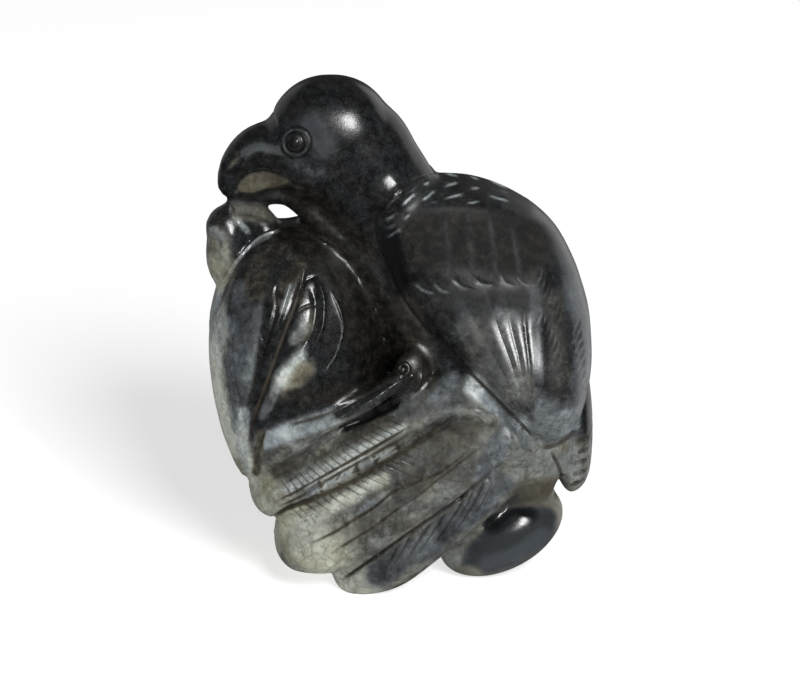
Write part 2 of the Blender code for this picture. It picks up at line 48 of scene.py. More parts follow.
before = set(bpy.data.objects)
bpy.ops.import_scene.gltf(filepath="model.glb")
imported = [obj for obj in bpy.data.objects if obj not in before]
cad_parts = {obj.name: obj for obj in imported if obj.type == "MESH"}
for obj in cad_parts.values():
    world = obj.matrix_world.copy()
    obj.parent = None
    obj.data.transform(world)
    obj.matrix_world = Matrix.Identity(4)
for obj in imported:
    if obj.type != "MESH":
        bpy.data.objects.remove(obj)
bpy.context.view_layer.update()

NODE = "parrot_carving"
PIECE = "jade_parrot"
LOW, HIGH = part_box(NODE)
PART = 0.001
LEAST_SQUARE = 0.01  # what a form's end keeps of its squared radius, so that no face is lost

# What the cutter reads on the skin, by what the drawing calls it, and what the material reads.
CUT_LAYERS = {"height": "relief", "barb": "barb", "barbed": "barbed", "barb_depth": "barb_depth"}
LAYERS = ("pale", "warm", "matt", "even", "dirt", "barb", "barbed", "barb_depth")

# Node types and settings that the trees share, and the stone's colours from dark to pale.
MATH, VECTOR_MATH, MIX = "ShaderNodeMath", "ShaderNodeVectorMath", "ShaderNodeMix"
RANGE, NOISE = "ShaderNodeMapRange", "ShaderNodeTexNoise"
SMOOTH = {"interpolation_type": "SMOOTHSTEP"}
COLD_STONE = ("black", "charcoal", "slate", "grey", "frost")
WARM_STONE = ("soot", "umber", "olive", "celadon", "cream")
NEPHRITE_IOR = 1.61

# A light is its name, degrees to the right of the camera's plan direction and up, distance and
# size in metres, and watts. The last says whether it is seen in the polish.
LIT = Vector((0.0, 0.0, 0.030))
KEY_LIGHT = ("key", 21, 35, 2.0, (0.60, 0.66), 28.0)
STONE_LIGHTS = (
    ("right_card", 138, 0, 0.65, (0.60, 0.70), 0.8, True),
    ("left_card", -142, 0, 0.65, (0.50, 0.70), 0.2, True),
    ("side", 72, 24, 0.65, (0.30, 0.36), 0.7, False),
    ("fill", -52, 26, 0.65, (0.40, 0.40), 0.9, False),
    ("back", 195, 42, 0.65, (0.50, 0.20), 0.3, False),
)
BOUNCE_LIGHT = ("bounce", 0, -20, 0.12, (0.20, 0.14), 0.10)
BOUNCE_PLACE = (0.0, -0.13, 0.001)  # it lies on the floor before the carving and faces up
AIM = Vector((-0.000125, 0.0, 0.031134))  # where the camera looks
SENSOR = 36.0  # width of the camera's sensor, in mm


def spline(rows, steps):
    """Rows of a smooth curve through the given rows, with that many steps between each two."""
    rows = np.asarray(rows, float)
    ends = np.vstack([2 * rows[0] - rows[1], rows, 2 * rows[-1] - rows[-2]])
    share = np.arange(steps)[:, None] / steps
    read = []
    for before, here, there, after in zip(ends, ends[1:], ends[2:], ends[3:]):
        read.append(
            0.5 * (2 * here + (there - before) * share
                   + (2 * before - 5 * here + 4 * there - after) * share ** 2
                   + (3 * here - before - 3 * there + after) * share ** 3))
    return np.vstack(read + [rows[-1:]])


def tube(stations, level=False, fullness=2.0, steps=6, sides=44):
    """A closed form along a curve. A station is x, y, z, then the section's radius in the XZ plane
    and its radius in depth; a form in the middle plane leaves y out. A level form has level
    sections; others are square to their curve. A fullness above 2 swells the sections from
    ellipses towards boxes.
    """
    stations = np.array(stations, float)
    if stations.shape[1] == 4:
        stations = np.insert(stations, 1, 0.0, axis=1)
    stations[:, 3:5] **= 2  # squares, so that a form closes to a round end and not to a point
    rows = spline(stations, steps)
    centre = rows[:, :3]
    radii = np.sqrt(np.maximum(rows[:, 3:5], LEAST_SQUARE))
    depth = np.tile([0.0, 1.0, 0.0], (len(rows), 1))
    side = np.tile([1.0, 0.0, 0.0], (len(rows), 1))
    if not level:
        along = np.gradient(centre, axis=0)
        along /= np.linalg.norm(along, axis=1)[:, None]
        depth = depth - along * along[:, 1:2]
        depth /= np.linalg.norm(depth, axis=1)[:, None]
        side = np.cross(depth, along)
    angle = np.linspace(0, 2 * math.pi, sides, endpoint=False)
    across = np.sign(np.cos(angle)) * np.abs(np.cos(angle)) ** (2 / fullness)
    back = np.sign(np.sin(angle)) * np.abs(np.sin(angle)) ** (2 / fullness)
    ring = (centre[:, None] + side[:, None] * radii[:, None, :1] * across[None, :, None]
            + depth[:, None] * radii[:, None, 1:] * back[None, :, None])
    last = len(rows) - 1
    points = np.vstack([ring.reshape(-1, 3), centre[:1], centre[-1:]])
    front_tip, back_tip = len(points) - 2, len(points) - 1
    faces = []
    for i in range(last):
        here, there = i * sides, (i + 1) * sides
        for j in range(sides):
            k = (j + 1) % sides
            faces.append((here + j, here + k, there + k, there + j))
    for j in range(sides):
        k = (j + 1) % sides
        faces.append((front_tip, k, j))
        faces.append((back_tip, last * sides + j, last * sides + k))
    return points, faces


def pebble(centre, radii, tilt=0.0):
    """An egg-shaped form: its long radius, its short one and its depth, tilted in the XZ plane."""
    angle = math.radians(tilt)
    reach = np.array([math.cos(angle), 0.0, math.sin(angle)]) * radii[0]
    stations = []
    for share in np.cos(np.linspace(math.pi, 0, 9)):
        swell = math.sqrt(max(1 - share * share, 0.0))
        middle = np.array(centre) + reach * share
        stations.append((*middle, radii[1] * swell, radii[2] * swell))
    return tube(stations, steps=4)


def both(form):
    """A form of the near side, and its mirror image on the far side."""
    points, faces = form
    return [form, (points * [1, -1, 1], [face[::-1] for face in faces])]


def head():
    crown = tube([
        (-8.5, 65.4, 0, 0), (-8.5, 64.7, 3.2, 2.7), (-8.5, 63.2, 5.4, 4.7),
        (-8.5, 61.1, 7.0, 6.0), (-8.5, 58.5, 7.8, 6.8), (-8.5, 55.8, 7.8, 6.8),
        (-8.5, 53.3, 6.9, 6.0), (-8.5, 51.1, 5.1, 4.4), (-8.5, 49.4, 0, 0),
    ], level=True, fullness=2.6)
    neck = tube([
        (-9.0, 57.0, 6.0, 5.4), (-6.2, 55.8, 7.4, 6.9), (-3.8, 52.3, 7.2, 6.9),
        (-0.6, 47.3, 7.2, 6.8), (2.4, 41.0, 8.0, 7.4), (5.5, 33.0, 8.5, 8.4),
        (8.5, 25.0, 7.0, 9.4),
    ])
    throat = tube([
        (-14.2, 50.4, 1.2, 2.4), (-11.6, 48.6, 1.5, 3.1), (-8.6, 46.3, 2.0, 4.4),
        (-5.6, 43.8, 2.6, 5.4), (-2.0, 40.0, 3.6, 6.6), (2.0, 32.0, 3.6, 6.4),
    ])
    return [crown, neck, throat]


def beak():
    upper = tube([
        (-12.3, 56.7, 3.7, 4.4), (-15.1, 56.5, 3.35, 4.0), (-17.9, 56.0, 2.75, 3.3),
        (-20.1, 54.2, 2.1, 2.5), (-21.4, 52.1, 1.3, 1.7), (-21.9, 50.7, 0.7, 1.0),
        (-22.0, 49.9, 0, 0),
    ])
    lower = tube([
        (-10.0, 51.0, 2.0, 3.6), (-12.8, 50.4, 1.3, 3.0), (-15.8, 50.2, 1.2, 2.6),
        (-18.6, 49.6, 0.9, 1.9), (-20.8, 49.0, 0.6, 1.1),
    ])
    mouth = tube([
        (-11.0, 53.2, 2.4, 2.6), (-15.0, 52.4, 2.2, 1.9), (-18.5, 51.4, 1.6, 1.2),
        (-20.6, 50.6, 1.2, 0.7),
    ])
    return [upper, lower, mouth]


def body():
    """The bird's trunk with its folded wings, broad in the shoulder and deepest low down."""
    return [tube([
        (4.5, 52.3, 0, 0), (4.9, 51.6, 4.8, 3.8), (5.6, 50.1, 8.1, 6.4), (6.8, 47.8, 10.4, 8.2),
        (8.3, 45.0, 11.5, 9.2), (10.1, 41.0, 11.7, 10.2), (11.6, 38.0, 11.2, 11.2),
        (13.2, 35.0, 10.4, 12.7), (14.8, 32.0, 9.1, 14.0), (16.1, 29.5, 7.9, 14.5),
        (17.6, 26.0, 6.0, 14.0), (18.7, 23.0, 4.0, 12.0), (19.1, 21.0, 2.4, 9.5),
        (19.1, 19.8, 0, 0),
    ], level=True, fullness=2.6)]


def peach():
    return [tube([
        (-12.2, 46.6, 0, 0), (-12.5, 45.7, 3.4, 3.4), (-12.7, 44.2, 6.0, 6.1),
        (-12.8, 41.3, 8.6, 9.2), (-12.7, 37.5, 10.2, 11.6), (-12.7, 33.5, 11.0, 12.8),
        (-12.7, 29.5, 11.2, 13.2), (-13.0, 25.0, 10.5, 12.8), (-14.0, 20.8, 8.7, 11.4),
        (-15.9, 17.0, 5.6, 9.0), (-18.0, 13.0, 0, 0),
    ], level=True, fullness=2.2)]


def tail():
    """Three broad feathers side by side, folded forward under the peach."""
    core = tube([
        (14.0, 25.0, 6.0, 9.0), (6.0, 18.8, 7.6, 11.0), (-1.0, 13.8, 8.0, 11.4),
        (-7.0, 10.4, 7.6, 11.0), (-11.6, 8.8, 5.6, 9.6), (-15.2, 8.6, 3.0, 7.0),
    ], fullness=2.8)
    first = tube([
        (15.0, 30.0, 3.0, 8.0), (10.0, 27.9, 4.6, 10.8), (4.0, 25.0, 4.6, 12.0),
        (-2.6, 20.9, 4.3, 12.5), (-10.1, 16.0, 4.4, 12.2), (-15.0, 13.0, 3.7, 11.0),
        (-17.5, 11.8, 2.4, 8.8), (-18.9, 11.2, 0, 0),
    ], fullness=2.6)
    second = tube([
        (18.0, 25.5, 4.0, 8.0), (13.5, 22.8, 5.0, 10.4), (8.0, 18.9, 5.4, 11.7),
        (2.4, 14.7, 5.6, 12.2), (-3.0, 10.8, 5.7, 12.2), (-8.7, 7.1, 5.2, 11.8),
        (-12.5, 5.5, 3.9, 10.4), (-14.8, 5.1, 2.3, 8.0), (-16.0, 5.0, 0, 0),
    ], fullness=2.6)
    third = tube([
        (19.0, 20.6, 3.0, 7.0), (12.6, 15.2, 3.9, 9.8), (7.2, 10.8, 4.1, 10.8),
        (2.2, 6.5, 4.1, 11.2), (-1.5, 3.6, 4.0, 11.2), (-5.2, 1.8, 3.2, 10.0),
        (-7.6, 1.1, 2.0, 8.0), (-8.8, 0.8, 0, 0),
    ], fullness=2.4)
    rump = [pebble((9.6, 0, 26.4), (8.4, 5.2, 12.2), -40.0),
            pebble((13.4, 0, 21.0), (6.4, 6.0, 11.6), -40.0)]
    return [core, first, second, third, *rump]


def crossing_leaf():
    """The slim leaf that lies between the peach and the tail."""
    return both(tube([
        (1.2, -8.6, 31.2, 0.5, 1.0), (-0.4, -9.6, 29.3, 1.0, 2.0), (-3.4, -10.6, 27.2, 1.2, 2.4),
        (-7.8, -11.0, 25.1, 1.6, 2.6), (-12.4, -10.8, 22.8, 2.3, 2.6),
        (-16.0, -9.4, 20.6, 2.9, 2.6), (-17.4, -8.8, 19.0, 0.6, 0.6),
    ]))


def knot():
    """The knot where that leaf leaves its twig, with the stub of the twig beside it."""
    stub = tube([
        (0.9, -7.4, 32.2, 1.2, 1.6), (2.0, -7.8, 31.0, 1.5, 1.8), (2.0, -8.4, 29.2, 1.6, 1.8),
        (1.0, -9.0, 27.6, 1.4, 1.6), (-0.4, -9.4, 26.4, 0.8, 1.4),
    ])
    return both(pebble((0.5, -8.9, 30.8), (1.2, 1.1, 1.5))) + both(stub)


def fruits():
    """The fruit at the foot of the wing, and the bud that hangs from the beak with its stalk."""
    fruit = pebble((12.8, -0.5, 5.6), (8.5, 5.0, 6.4), 28.0)
    bud = pebble((-21.3, 0, 43.2), (5.3, 2.8, 3.6), 84.0)
    neck = pebble((-22.0, 0, 46.2), (2.6, 2.0, 2.8), 60.0)
    stalk = tube([
        (-21.2, 49.4, 0.9, 1.1), (-19.6, 48.4, 1.5, 1.8), (-17.7, 46.8, 2.0, 2.4),
        (-16.4, 44.8, 2.1, 2.6), (-15.9, 42.4, 2.0, 2.4),
    ])
    return [fruit, bud, neck, stalk]


def stems():
    """The knotty stem under the wing's tip, and the curled leaf at the right."""
    stem = tube([
        (17.0, 24.0, 3.6, 10.5), (16.8, 19.0, 4.2, 9.4), (16.4, 14.0, 3.8, 7.2),
        (15.5, 9.0, 2.6, 5.0),
    ])
    twig = tube([
        (19.6, 2.0, 25.0, 3.0, 6.0), (19.6, 2.0, 19.0, 2.8, 6.0), (19.4, 2.4, 13.5, 2.0, 4.6),
    ])
    curled = tube([
        (21.8, 3.5, 25.2, 2.0, 3.4), (22.5, 3.5, 20.6, 1.8, 4.2), (22.4, 3.5, 16.2, 2.0, 4.6),
        (22.0, 3.2, 12.2, 2.0, 3.8), (21.6, 3.0, 9.3, 0.4, 0.6),
    ])
    return [stem, twig, curled]


def forms():
    parts = (head, beak, body, peach, tail, crossing_leaf, knot, fruits, stems)
    return [form for part in parts for form in part()]


# The relief is laid out on a drawing of the figure from the front and a little above. Its units
# are eighths of a part, to the right and downwards.
UNITS = 8.0
DRAWN_FROM = math.radians(20)
DRAWN_CENTRE = (401.0, 336.0)
LEVEL_OF_CENTRE = 31.4

# A face turned away by more than this isn't on the drawing, and one turned nearer is so by degrees.
HIDDEN = -0.25
SHOWN_OVER = 0.35

CURVE_STEPS = 5  # steps between two points of a drawn line
FAR = 1e6  # a reach over the whole drawing
SKIRT = 3  # how far a cut's skirt reaches, in widths
NARROW = 2.8  # dirt stays in cuts narrower than this
FLICK_BOW = 0.12  # how far a flick bows, as a share of its length

# Lines of the drawing, from the bird to the tail.
EYE = (299, 146.5)
MOUTH = [(239, 193), (244, 182), (253, 176), (267, 173), (283, 177), (294, 185), (283, 189),
         (267, 191), (253, 196), (239, 193)]
WING_FRONT = [(430, 177), (410, 187), (392, 200), (381, 214), (378, 230), (382, 250), (395, 280)]
WING_EDGE = [(403, 296), (425, 325), (450, 350), (475, 375), (500, 400), (520, 420), (530, 431)]
WING_BACK = [(543, 288), (539, 305), (537, 330), (537, 355), (536, 380), (534, 405), (531, 431)]
COVERT_ENDS = [(402, 298), (420, 301), (438, 298), (456, 293), (476, 290), (498, 288), (520, 288),
               (544, 286)]
PRIMARY_CUTS = (0.20, 0.37, 0.56, 0.69, 0.84)
SCALE_CUTS = [
    [(423, 188), (432, 184)], [(402, 209), (417, 195)], [(422, 204), (437, 192)],
    [(444, 189), (460, 184)], [(444, 202), (464, 195)], [(469, 191), (482, 190)],
    [(466, 206), (482, 203)], [(488, 198), (510, 203)], [(405, 223), (412, 215)],
]
FAINT_SCALE_CUTS = [
    [(385, 224), (399, 215)], [(422, 179), (440, 175)], [(449, 179), (466, 177)],
    [(474, 181), (491, 183)], [(391, 206), (402, 198)], [(408, 197), (417, 190)],
    [(498, 190), (512, 196)], [(388, 232), (398, 224)], [(388, 240), (404, 229)],
    [(425, 207), (441, 203)], [(450, 204), (461, 206)],
]
COVERT_CUTS = [
    [(438, 232), (444, 252), (453, 278)], [(457, 228), (466, 256), (481, 280)],
    [(482, 218), (490, 254), (500, 277)], [(498, 212), (507, 245), (519, 274)],
    [(520, 215), (529, 246), (535, 270)],
]
COVERT_LINES = [
    [(446, 222), (452, 280)], [(468, 216), (474, 284)], [(489, 216), (497, 284)],
    [(510, 220), (520, 282)],
]
COVERT_TIPS = [
    [(415, 285), (426, 292), (436, 295)], [(434, 283), (441, 291), (451, 294)],
    [(453, 280), (462, 288), (474, 291)], [(472, 277), (481, 285), (495, 287)],
    [(499, 275), (505, 284), (515, 288)], [(515, 276), (521, 284), (529, 287)],
]
LEAF = [(300, 230), (280, 232), (262, 240), (247, 256), (238, 275), (232, 295), (229, 318),
        (230, 342), (233, 367), (237, 397), (240, 427), (242, 455), (243, 480), (250, 455),
        (258, 434), (270, 419), (286, 407), (302, 397), (316, 386), (327, 374), (336, 361),
        (343, 343), (346, 322), (344, 303), (337, 285), (328, 265), (316, 243), (300, 230)]
LEAF_RIM = [(211, 328), (219, 301), (229, 278), (245, 255), (262, 239), (282, 231), (305, 231),
            (338, 247)]
MIDRIB = [(308, 270), (299.5, 302), (287.5, 334), (277, 363), (267, 390), (257, 417), (252, 440)]
VEINS = [
    [(319, 277), (306, 284), (297, 300)], [(320, 305), (306, 309), (293, 320)],
    [(305, 343), (293, 347), (283, 356)], [(262, 328), (268, 342), (267, 358)],
    [(252, 350), (258, 364), (258, 380)], [(284, 284), (279, 292), (280, 306)],
]
KNOT = (405, 369)
FIRST_TOP = [(414, 423), (400, 432), (376, 446), (353, 459.3), (329, 473), (306, 486.5),
             (277, 501)]
FIRST_LOW = [(414, 430), (398.6, 440.7), (373, 453.6), (350, 466.4), (321.4, 485), (307, 493.6),
             (280, 506)]
FIRST_EDGE = [(456, 415), (446, 423), (425, 438), (397, 455), (375, 468), (353, 481), (331, 491),
              (309, 500), (290, 507), (272, 518)]
FIRST_CRACKS = ((323, 486), (341, 477), (360, 467.5), (377, 458), (400, 446))
SECOND_TOP = [(467, 452), (448.6, 466.4), (435, 475), (415, 482), (394, 491), (377, 505),
              (368.6, 510.7), (350, 522), (335.7, 531.4), (310, 543.6)]
SECOND_LOW = [(488, 442), (474, 452), (457, 465), (436, 481), (417, 496), (400, 507),
              (378.6, 523.6), (354, 539), (331, 553.6)]
SECOND_EDGE = [(503, 460), (482, 479), (460, 498), (440, 512), (415, 529), (390, 547), (362, 567),
               (342, 581)]
DARK_END = [(464, 566), (468, 549), (484, 532), (491, 517), (506, 512), (530, 508), (548, 508),
            (558, 516), (555, 532), (538, 550), (512, 562), (486, 569), (464, 566)]


def between(first, second, share):
    """The line that share of the way from one drawn line to another."""
    return (1 - share) * np.array(first, float) + share * np.array(second, float)


def circle(centre, radius):
    """A drawn circle, closed."""
    return [(centre[0] + radius * math.cos(turn), centre[1] + radius * math.sin(turn))
            for turn in np.linspace(0, 2 * math.pi, 9)]


def run_out(run, length, taper, stub):
    """How fully a cut is made along its run: by a stub's share at its ends, and in full inside."""
    return np.clip(np.minimum(run, length - run) / taper + stub, 0, 1) if taper else 1.0


class Drawing:
    """A skin's points as the drawing shows them, with what the carver's tools do to them."""

    def __init__(self, points, normals):
        x, y, z = points.T / PART
        level, upright = math.cos(DRAWN_FROM), math.sin(DRAWN_FROM)
        self.u = DRAWN_CENTRE[0] + UNITS * x
        self.v = DRAWN_CENTRE[1] - UNITS * ((z - LEVEL_OF_CENTRE) * level - np.abs(y) * upright)
        outward = np.abs(normals[:, 1]) * np.sign(normals[:, 1] * y)
        faced = normals[:, 2] * upright + outward * level
        self.shown = np.clip((faced - HIDDEN) / SHOWN_OVER, 0, 1)
        self.height, self.dirt, self.barb, self.barbed, self.barb_depth = np.zeros((5, len(points)))

    def along(self, line, reach, among=None):
        """The points close to a drawn line: which they are, how far to its right, how far along."""
        line = spline(line, CURVE_STEPS)
        if among is None:
            low, high = line.min(axis=0) - reach, line.max(axis=0) + reach
            among = np.flatnonzero((self.u > low[0]) & (self.u < high[0])
                                   & (self.v > low[1]) & (self.v < high[1]))
        u, v = self.u[among], self.v[among]
        best = np.full(len(among), np.inf)
        side = np.zeros(len(among))
        run = np.zeros(len(among))
        start = 0.0
        for (u0, v0), (u1, v1) in zip(line, line[1:]):
            length = math.hypot(u1 - u0, v1 - v0)
            du, dv = (u1 - u0) / length, (v1 - v0) / length
            on = (u - u0) * du + (v - v0) * dv
            off = (v - v0) * du - (u - u0) * dv
            past = np.maximum(np.maximum(-on, on - length), 0)
            away = np.hypot(off, past)
            closer = away < best
            best = np.where(closer, away, best)
            side = np.where(closer, np.where(off < 0, -away, away), side)
            run = np.where(closer, start + np.clip(on, 0, length), run)
            start += length
        close = best < reach
        return among[close], side[close], run[close], start

    def inside(self, outline):
        """Which points lie within a closed outline."""
        within = np.zeros(len(self.u), bool)
        line = spline(outline, CURVE_STEPS)
        for (u0, v0), (u1, v1) in zip(line, line[1:]):
            if v0 != v1:
                crossed = (self.v < v0) != (self.v < v1)
                within ^= crossed & (self.u < u0 + (self.v - v0) * (u1 - u0) / (v1 - v0))
        return within

    def add(self, found, amount):
        self.height[found] += amount * self.shown[found]

    def groove(self, line, depth, width, taper=8.0):
        """A cut with a round bottom; it runs out at both ends. A negative depth raises a ridge."""
        found, side, run, length = self.along(line, SKIRT * width)
        cut = depth * run_out(run, length, taper, 0.15) * np.exp(-(side / width) ** 2)
        self.add(found, -cut)
        if width < NARROW:
            self.dirt[found] = np.maximum(self.dirt[found], cut)

    def step(self, line, rise, drop, fade, taper=10.0):
        """An edge: the surface is raised up to the line and cut back beyond it, to its right."""
        lip, foot, spread = 1.6, 1.0, 1.4  # the edge's width, and where its dirt lies
        found, side, run, length = self.along(line, 4 * fade)
        ends = run_out(run, length, taper, 0.1)
        blend = np.clip(0.5 - side / lip, 0, 1)
        bump = rise * np.exp(np.minimum(side, 0) / fade) * blend
        cut = drop * np.exp(-np.maximum(side, 0) / fade) * (1 - blend)
        self.add(found, (bump - cut) * ends)
        dirt = 0.8 * drop * ends * np.exp(-((side - foot) / spread) ** 2)
        self.dirt[found] = np.maximum(self.dirt[found], dirt)

    def flick(self, line, depth, width):
        """A short cut that bows to its left and runs out at both ends."""
        (u0, v0), (u1, v1) = line
        middle = ((u0 + u1) / 2 + FLICK_BOW * (v1 - v0), (v0 + v1) / 2 - FLICK_BOW * (u1 - u0))
        found, side, run, length = self.along([line[0], middle, line[1]], SKIRT * width)
        ends = np.sin(math.pi * np.clip(run / length, 0.04, 0.96))
        self.add(found, -depth * ends * np.exp(-(side / (width * (0.5 + 0.5 * ends))) ** 2))

    def barbs(self, line, inner, outer, lean, pitch, depth, start=0.0, stop=1.0):
        """Lays out the slanting cuts beside a shaft, from one distance to another on its right.
        They lean towards the tip, by one share of their length at its root and another at its tip.

        Each point gets its place in the row of cuts, in cuts, and how fully it lies in the row.
        """
        curl, run_in = 0.006, 12
        sway, sway_length, quiver, quiver_length = 0.22, 17, 0.12, 6.1
        found, side, run, length = self.along(line, max(abs(inner), abs(outer)) + 2)
        off = np.abs(side)
        leans = lean[0] + (lean[1] - lean[0]) * run / length
        slant = run + leans * off * (1 + curl * off)
        phase = (slant / pitch + sway * np.sin(slant / sway_length + lean[0])
                 + quiver * np.sin(slant / quiver_length))
        near, far = min(abs(inner), abs(outer)), max(abs(inner), abs(outer))
        reach = (far - near) * (0.78 + 0.22 * np.sin(2.4 * np.round(phase)))  # some cuts are short
        across = (off - near) / reach
        inside = np.clip(across * reach / 2, 0, 1) * np.sqrt(np.clip(1 - across, 0, 1))
        inside = inside * self.shown[found]
        inside *= (side > min(inner, outer)) & (side < max(inner, outer))
        inside *= np.clip((run / length - start) * run_in, 0, 1)
        inside *= np.clip((stop - run / length) * run_in, 0, 1)
        wins = inside > self.barbed[found]
        self.barb[found] = np.where(wins, phase, self.barb[found])
        self.barb_depth[found] = np.where(wins, depth, self.barb_depth[found])
        self.barbed[found] = np.maximum(self.barbed[found], inside)

    def fan(self, outline, first, second, cuts, bulge):
        """Rounded feathers side by side between two lines, cut at shares of the way between."""
        rim, broad = 10, 45  # they flatten towards the outline, and where the fan narrows
        among = np.flatnonzero(self.inside(outline))
        left, right, edge = (np.abs(self.along(line, FAR, among)[1])
                             for line in (first, second, outline))
        gap = left + right
        share = left / gap
        edges = np.array([0.0, *cuts, 1.0])
        which = np.clip(np.searchsorted(edges, share) - 1, 0, len(edges) - 2)
        width = edges[which + 1] - edges[which]
        place = 2 * (share - edges[which]) / width - 1
        fade = np.clip(edge / rim, 0, 1) * np.clip(gap / broad, 0.15, 1)
        self.add(among, bulge * width * len(cuts) * (0.6 - place ** 2) * fade)

    def oval(self, centre, radii, tilt, ring, width, middle=0.0):
        """A cut ring with a raised or sunk middle."""
        angle = math.radians(tilt)
        du, dv = self.u - centre[0], self.v - centre[1]
        across = (du * math.cos(angle) - dv * math.sin(angle)) / radii[0]
        up = (du * math.sin(angle) + dv * math.cos(angle)) / radii[1]
        out = np.hypot(across, up)
        edge = (out - 1) * min(radii) / width
        found = np.flatnonzero(out < 1 + 4 * width / min(radii))
        amount = -ring * np.exp(-edge ** 2) + middle * np.sqrt(np.clip(1 - out ** 2, 0, 1))
        self.add(found, amount[found])

    def plateau(self, outline, rise, soft):
        """Everything inside a closed outline, raised."""
        found, side, _, _ = self.along(outline, 4 * soft)
        away = np.full(len(self.u), 4.0 * soft)
        away[found] = np.abs(side)
        away = np.where(self.inside(outline), away, -away)
        self.height += rise * self.shown * np.clip(away / soft + 0.5, 0, 1)


def carve_head(relief):
    relief.oval(EYE, (15.0, 14.6), 0, 0.26, 1.6)
    relief.oval(EYE, (10.2, 10.0), 0, 0.34, 1.5, 0.40)
    relief.oval(EYE, (5.0, 5.0), 0, 0.0, 1.5, 0.30)
    relief.groove([(284, 135), (279, 142), (279, 151), (285, 159)], 0.16, 1.4)
    relief.groove([(257, 140), (266, 144), (275, 149), (279, 155)], 0.09, 1.3)
    relief.oval((237.5, 164.5), (11.5, 5.2), 40, 0.20, 1.4, -0.12)
    relief.groove([(272, 112), (276, 121), (281, 131)], 0.20, 2.2)
    relief.groove([(246, 161), (256, 154), (270, 151), (285, 153), (299, 159)], -0.16, 3.2, 14.0)
    relief.step([(240, 187), (245, 174), (255, 164), (268, 160), (285, 160), (303, 166)], 0.06,
            0.34, 6.0)
    relief.plateau(MOUTH, -0.60, 2.2)
    relief.groove([(240, 195), (256, 196), (275, 193), (296, 187)], -0.25, 1.8)


def carve_wing(relief):
    relief.step([(444, 173), *WING_FRONT[:4]], 0.05, 0.30, 5.0, 14.0)
    relief.step([*WING_FRONT[2:], *WING_EDGE, (536, 437)], 0.05, 0.8, 9.0, 14.0)
    # The swell of the nape and of the shoulder, and the hollow over the coverts.
    relief.groove([(376, 218), (386, 203), (396, 192), (409, 182)], -0.75, 11.0, 14.0)
    relief.groove([(404, 228), (420, 214), (442, 208), (470, 208), (500, 214)], -0.30, 13.0, 40.0)
    relief.groove([(412, 256), (440, 252), (472, 250), (500, 250), (520, 255)], 0.70, 34.0, 50.0)
    relief.groove([(484, 394), (502, 412), (519, 430)], 0.35, 3.4)
    for cut in SCALE_CUTS:
        relief.flick(cut, 0.12, 1.6)
    for cut in FAINT_SCALE_CUTS:
        relief.flick(cut, 0.06, 1.6)
    for cut in COVERT_CUTS:
        relief.groove(cut, 0.07, 3.2, 14.0)
    relief.groove([(405, 236), (411, 258), (420, 284)], 0.08, 4.0, 14.0)
    for tip in COVERT_TIPS:
        relief.groove(tip, 0.10, 1.7, 5.0)
    fan = [*COVERT_ENDS, *WING_BACK, *WING_EDGE[::-1], COVERT_ENDS[0]]
    relief.fan(fan, WING_EDGE, WING_BACK, PRIMARY_CUTS, 0.18)
    relief.groove([(552, 250), (551, 300), (551, 340), (552, 380), (552, 412)], 0.10, 7.0, 30.0)
    for i in range(11):
        start = between((540, 266), (574, 330), i / 10)
        relief.flick([start, start + (-6, 19)], 0.07, 1.5)
        if i > 3:
            relief.flick([start + (-14, 14), start + (-19, 32)], 0.06, 1.5)
    for i in range(8):
        start = between((579, 320), (588, 384), i / 7)
        relief.flick([start, start + (-8, 15)], 0.24, 1.6)


def carve_peach(relief):
    relief.plateau(LEAF, 0.20, 5.0)
    relief.groove(LEAF_RIM, -0.20, 1.5)
    relief.groove([(219, 316), (234, 276), (253, 249), (276, 236)], 0.22, 2.0)
    relief.groove([(243, 312), (236, 342), (237, 364), (240, 385), (250, 427)], 0.16, 1.5)
    relief.groove(MIDRIB, 0.48, 2.2, 20.0)
    relief.groove([(300, 275), (293, 288), (285, 313), (277, 338), (268, 366), (258, 396),
                   (250, 422)], -0.32, 2.8, 16.0)
    relief.groove([(282, 302), (275, 330), (265, 356), (255, 388), (250, 410)], 0.24, 2.4, 14.0)
    relief.groove([(277, 328), (273, 341), (269, 354)], -0.14, 1.6)
    relief.groove([(262, 382), (256, 402), (251, 424)], -0.12, 1.6)
    for vein in VEINS:
        relief.groove(vein, 0.16, 1.5)
    relief.groove([(318, 280), (325, 298), (325.5, 316), (323.4, 330), (314, 350), (304, 364)],
                  -0.34, 1.8, 12.0)
    relief.groove([(313, 288), (318, 302), (317.5, 318), (314, 333), (305, 350)], 0.30, 3.4, 12.0)
    relief.groove([(333, 292), (342, 314), (344.6, 334), (335.3, 361), (317, 382)],
                  -0.20, 1.4, 14.0)


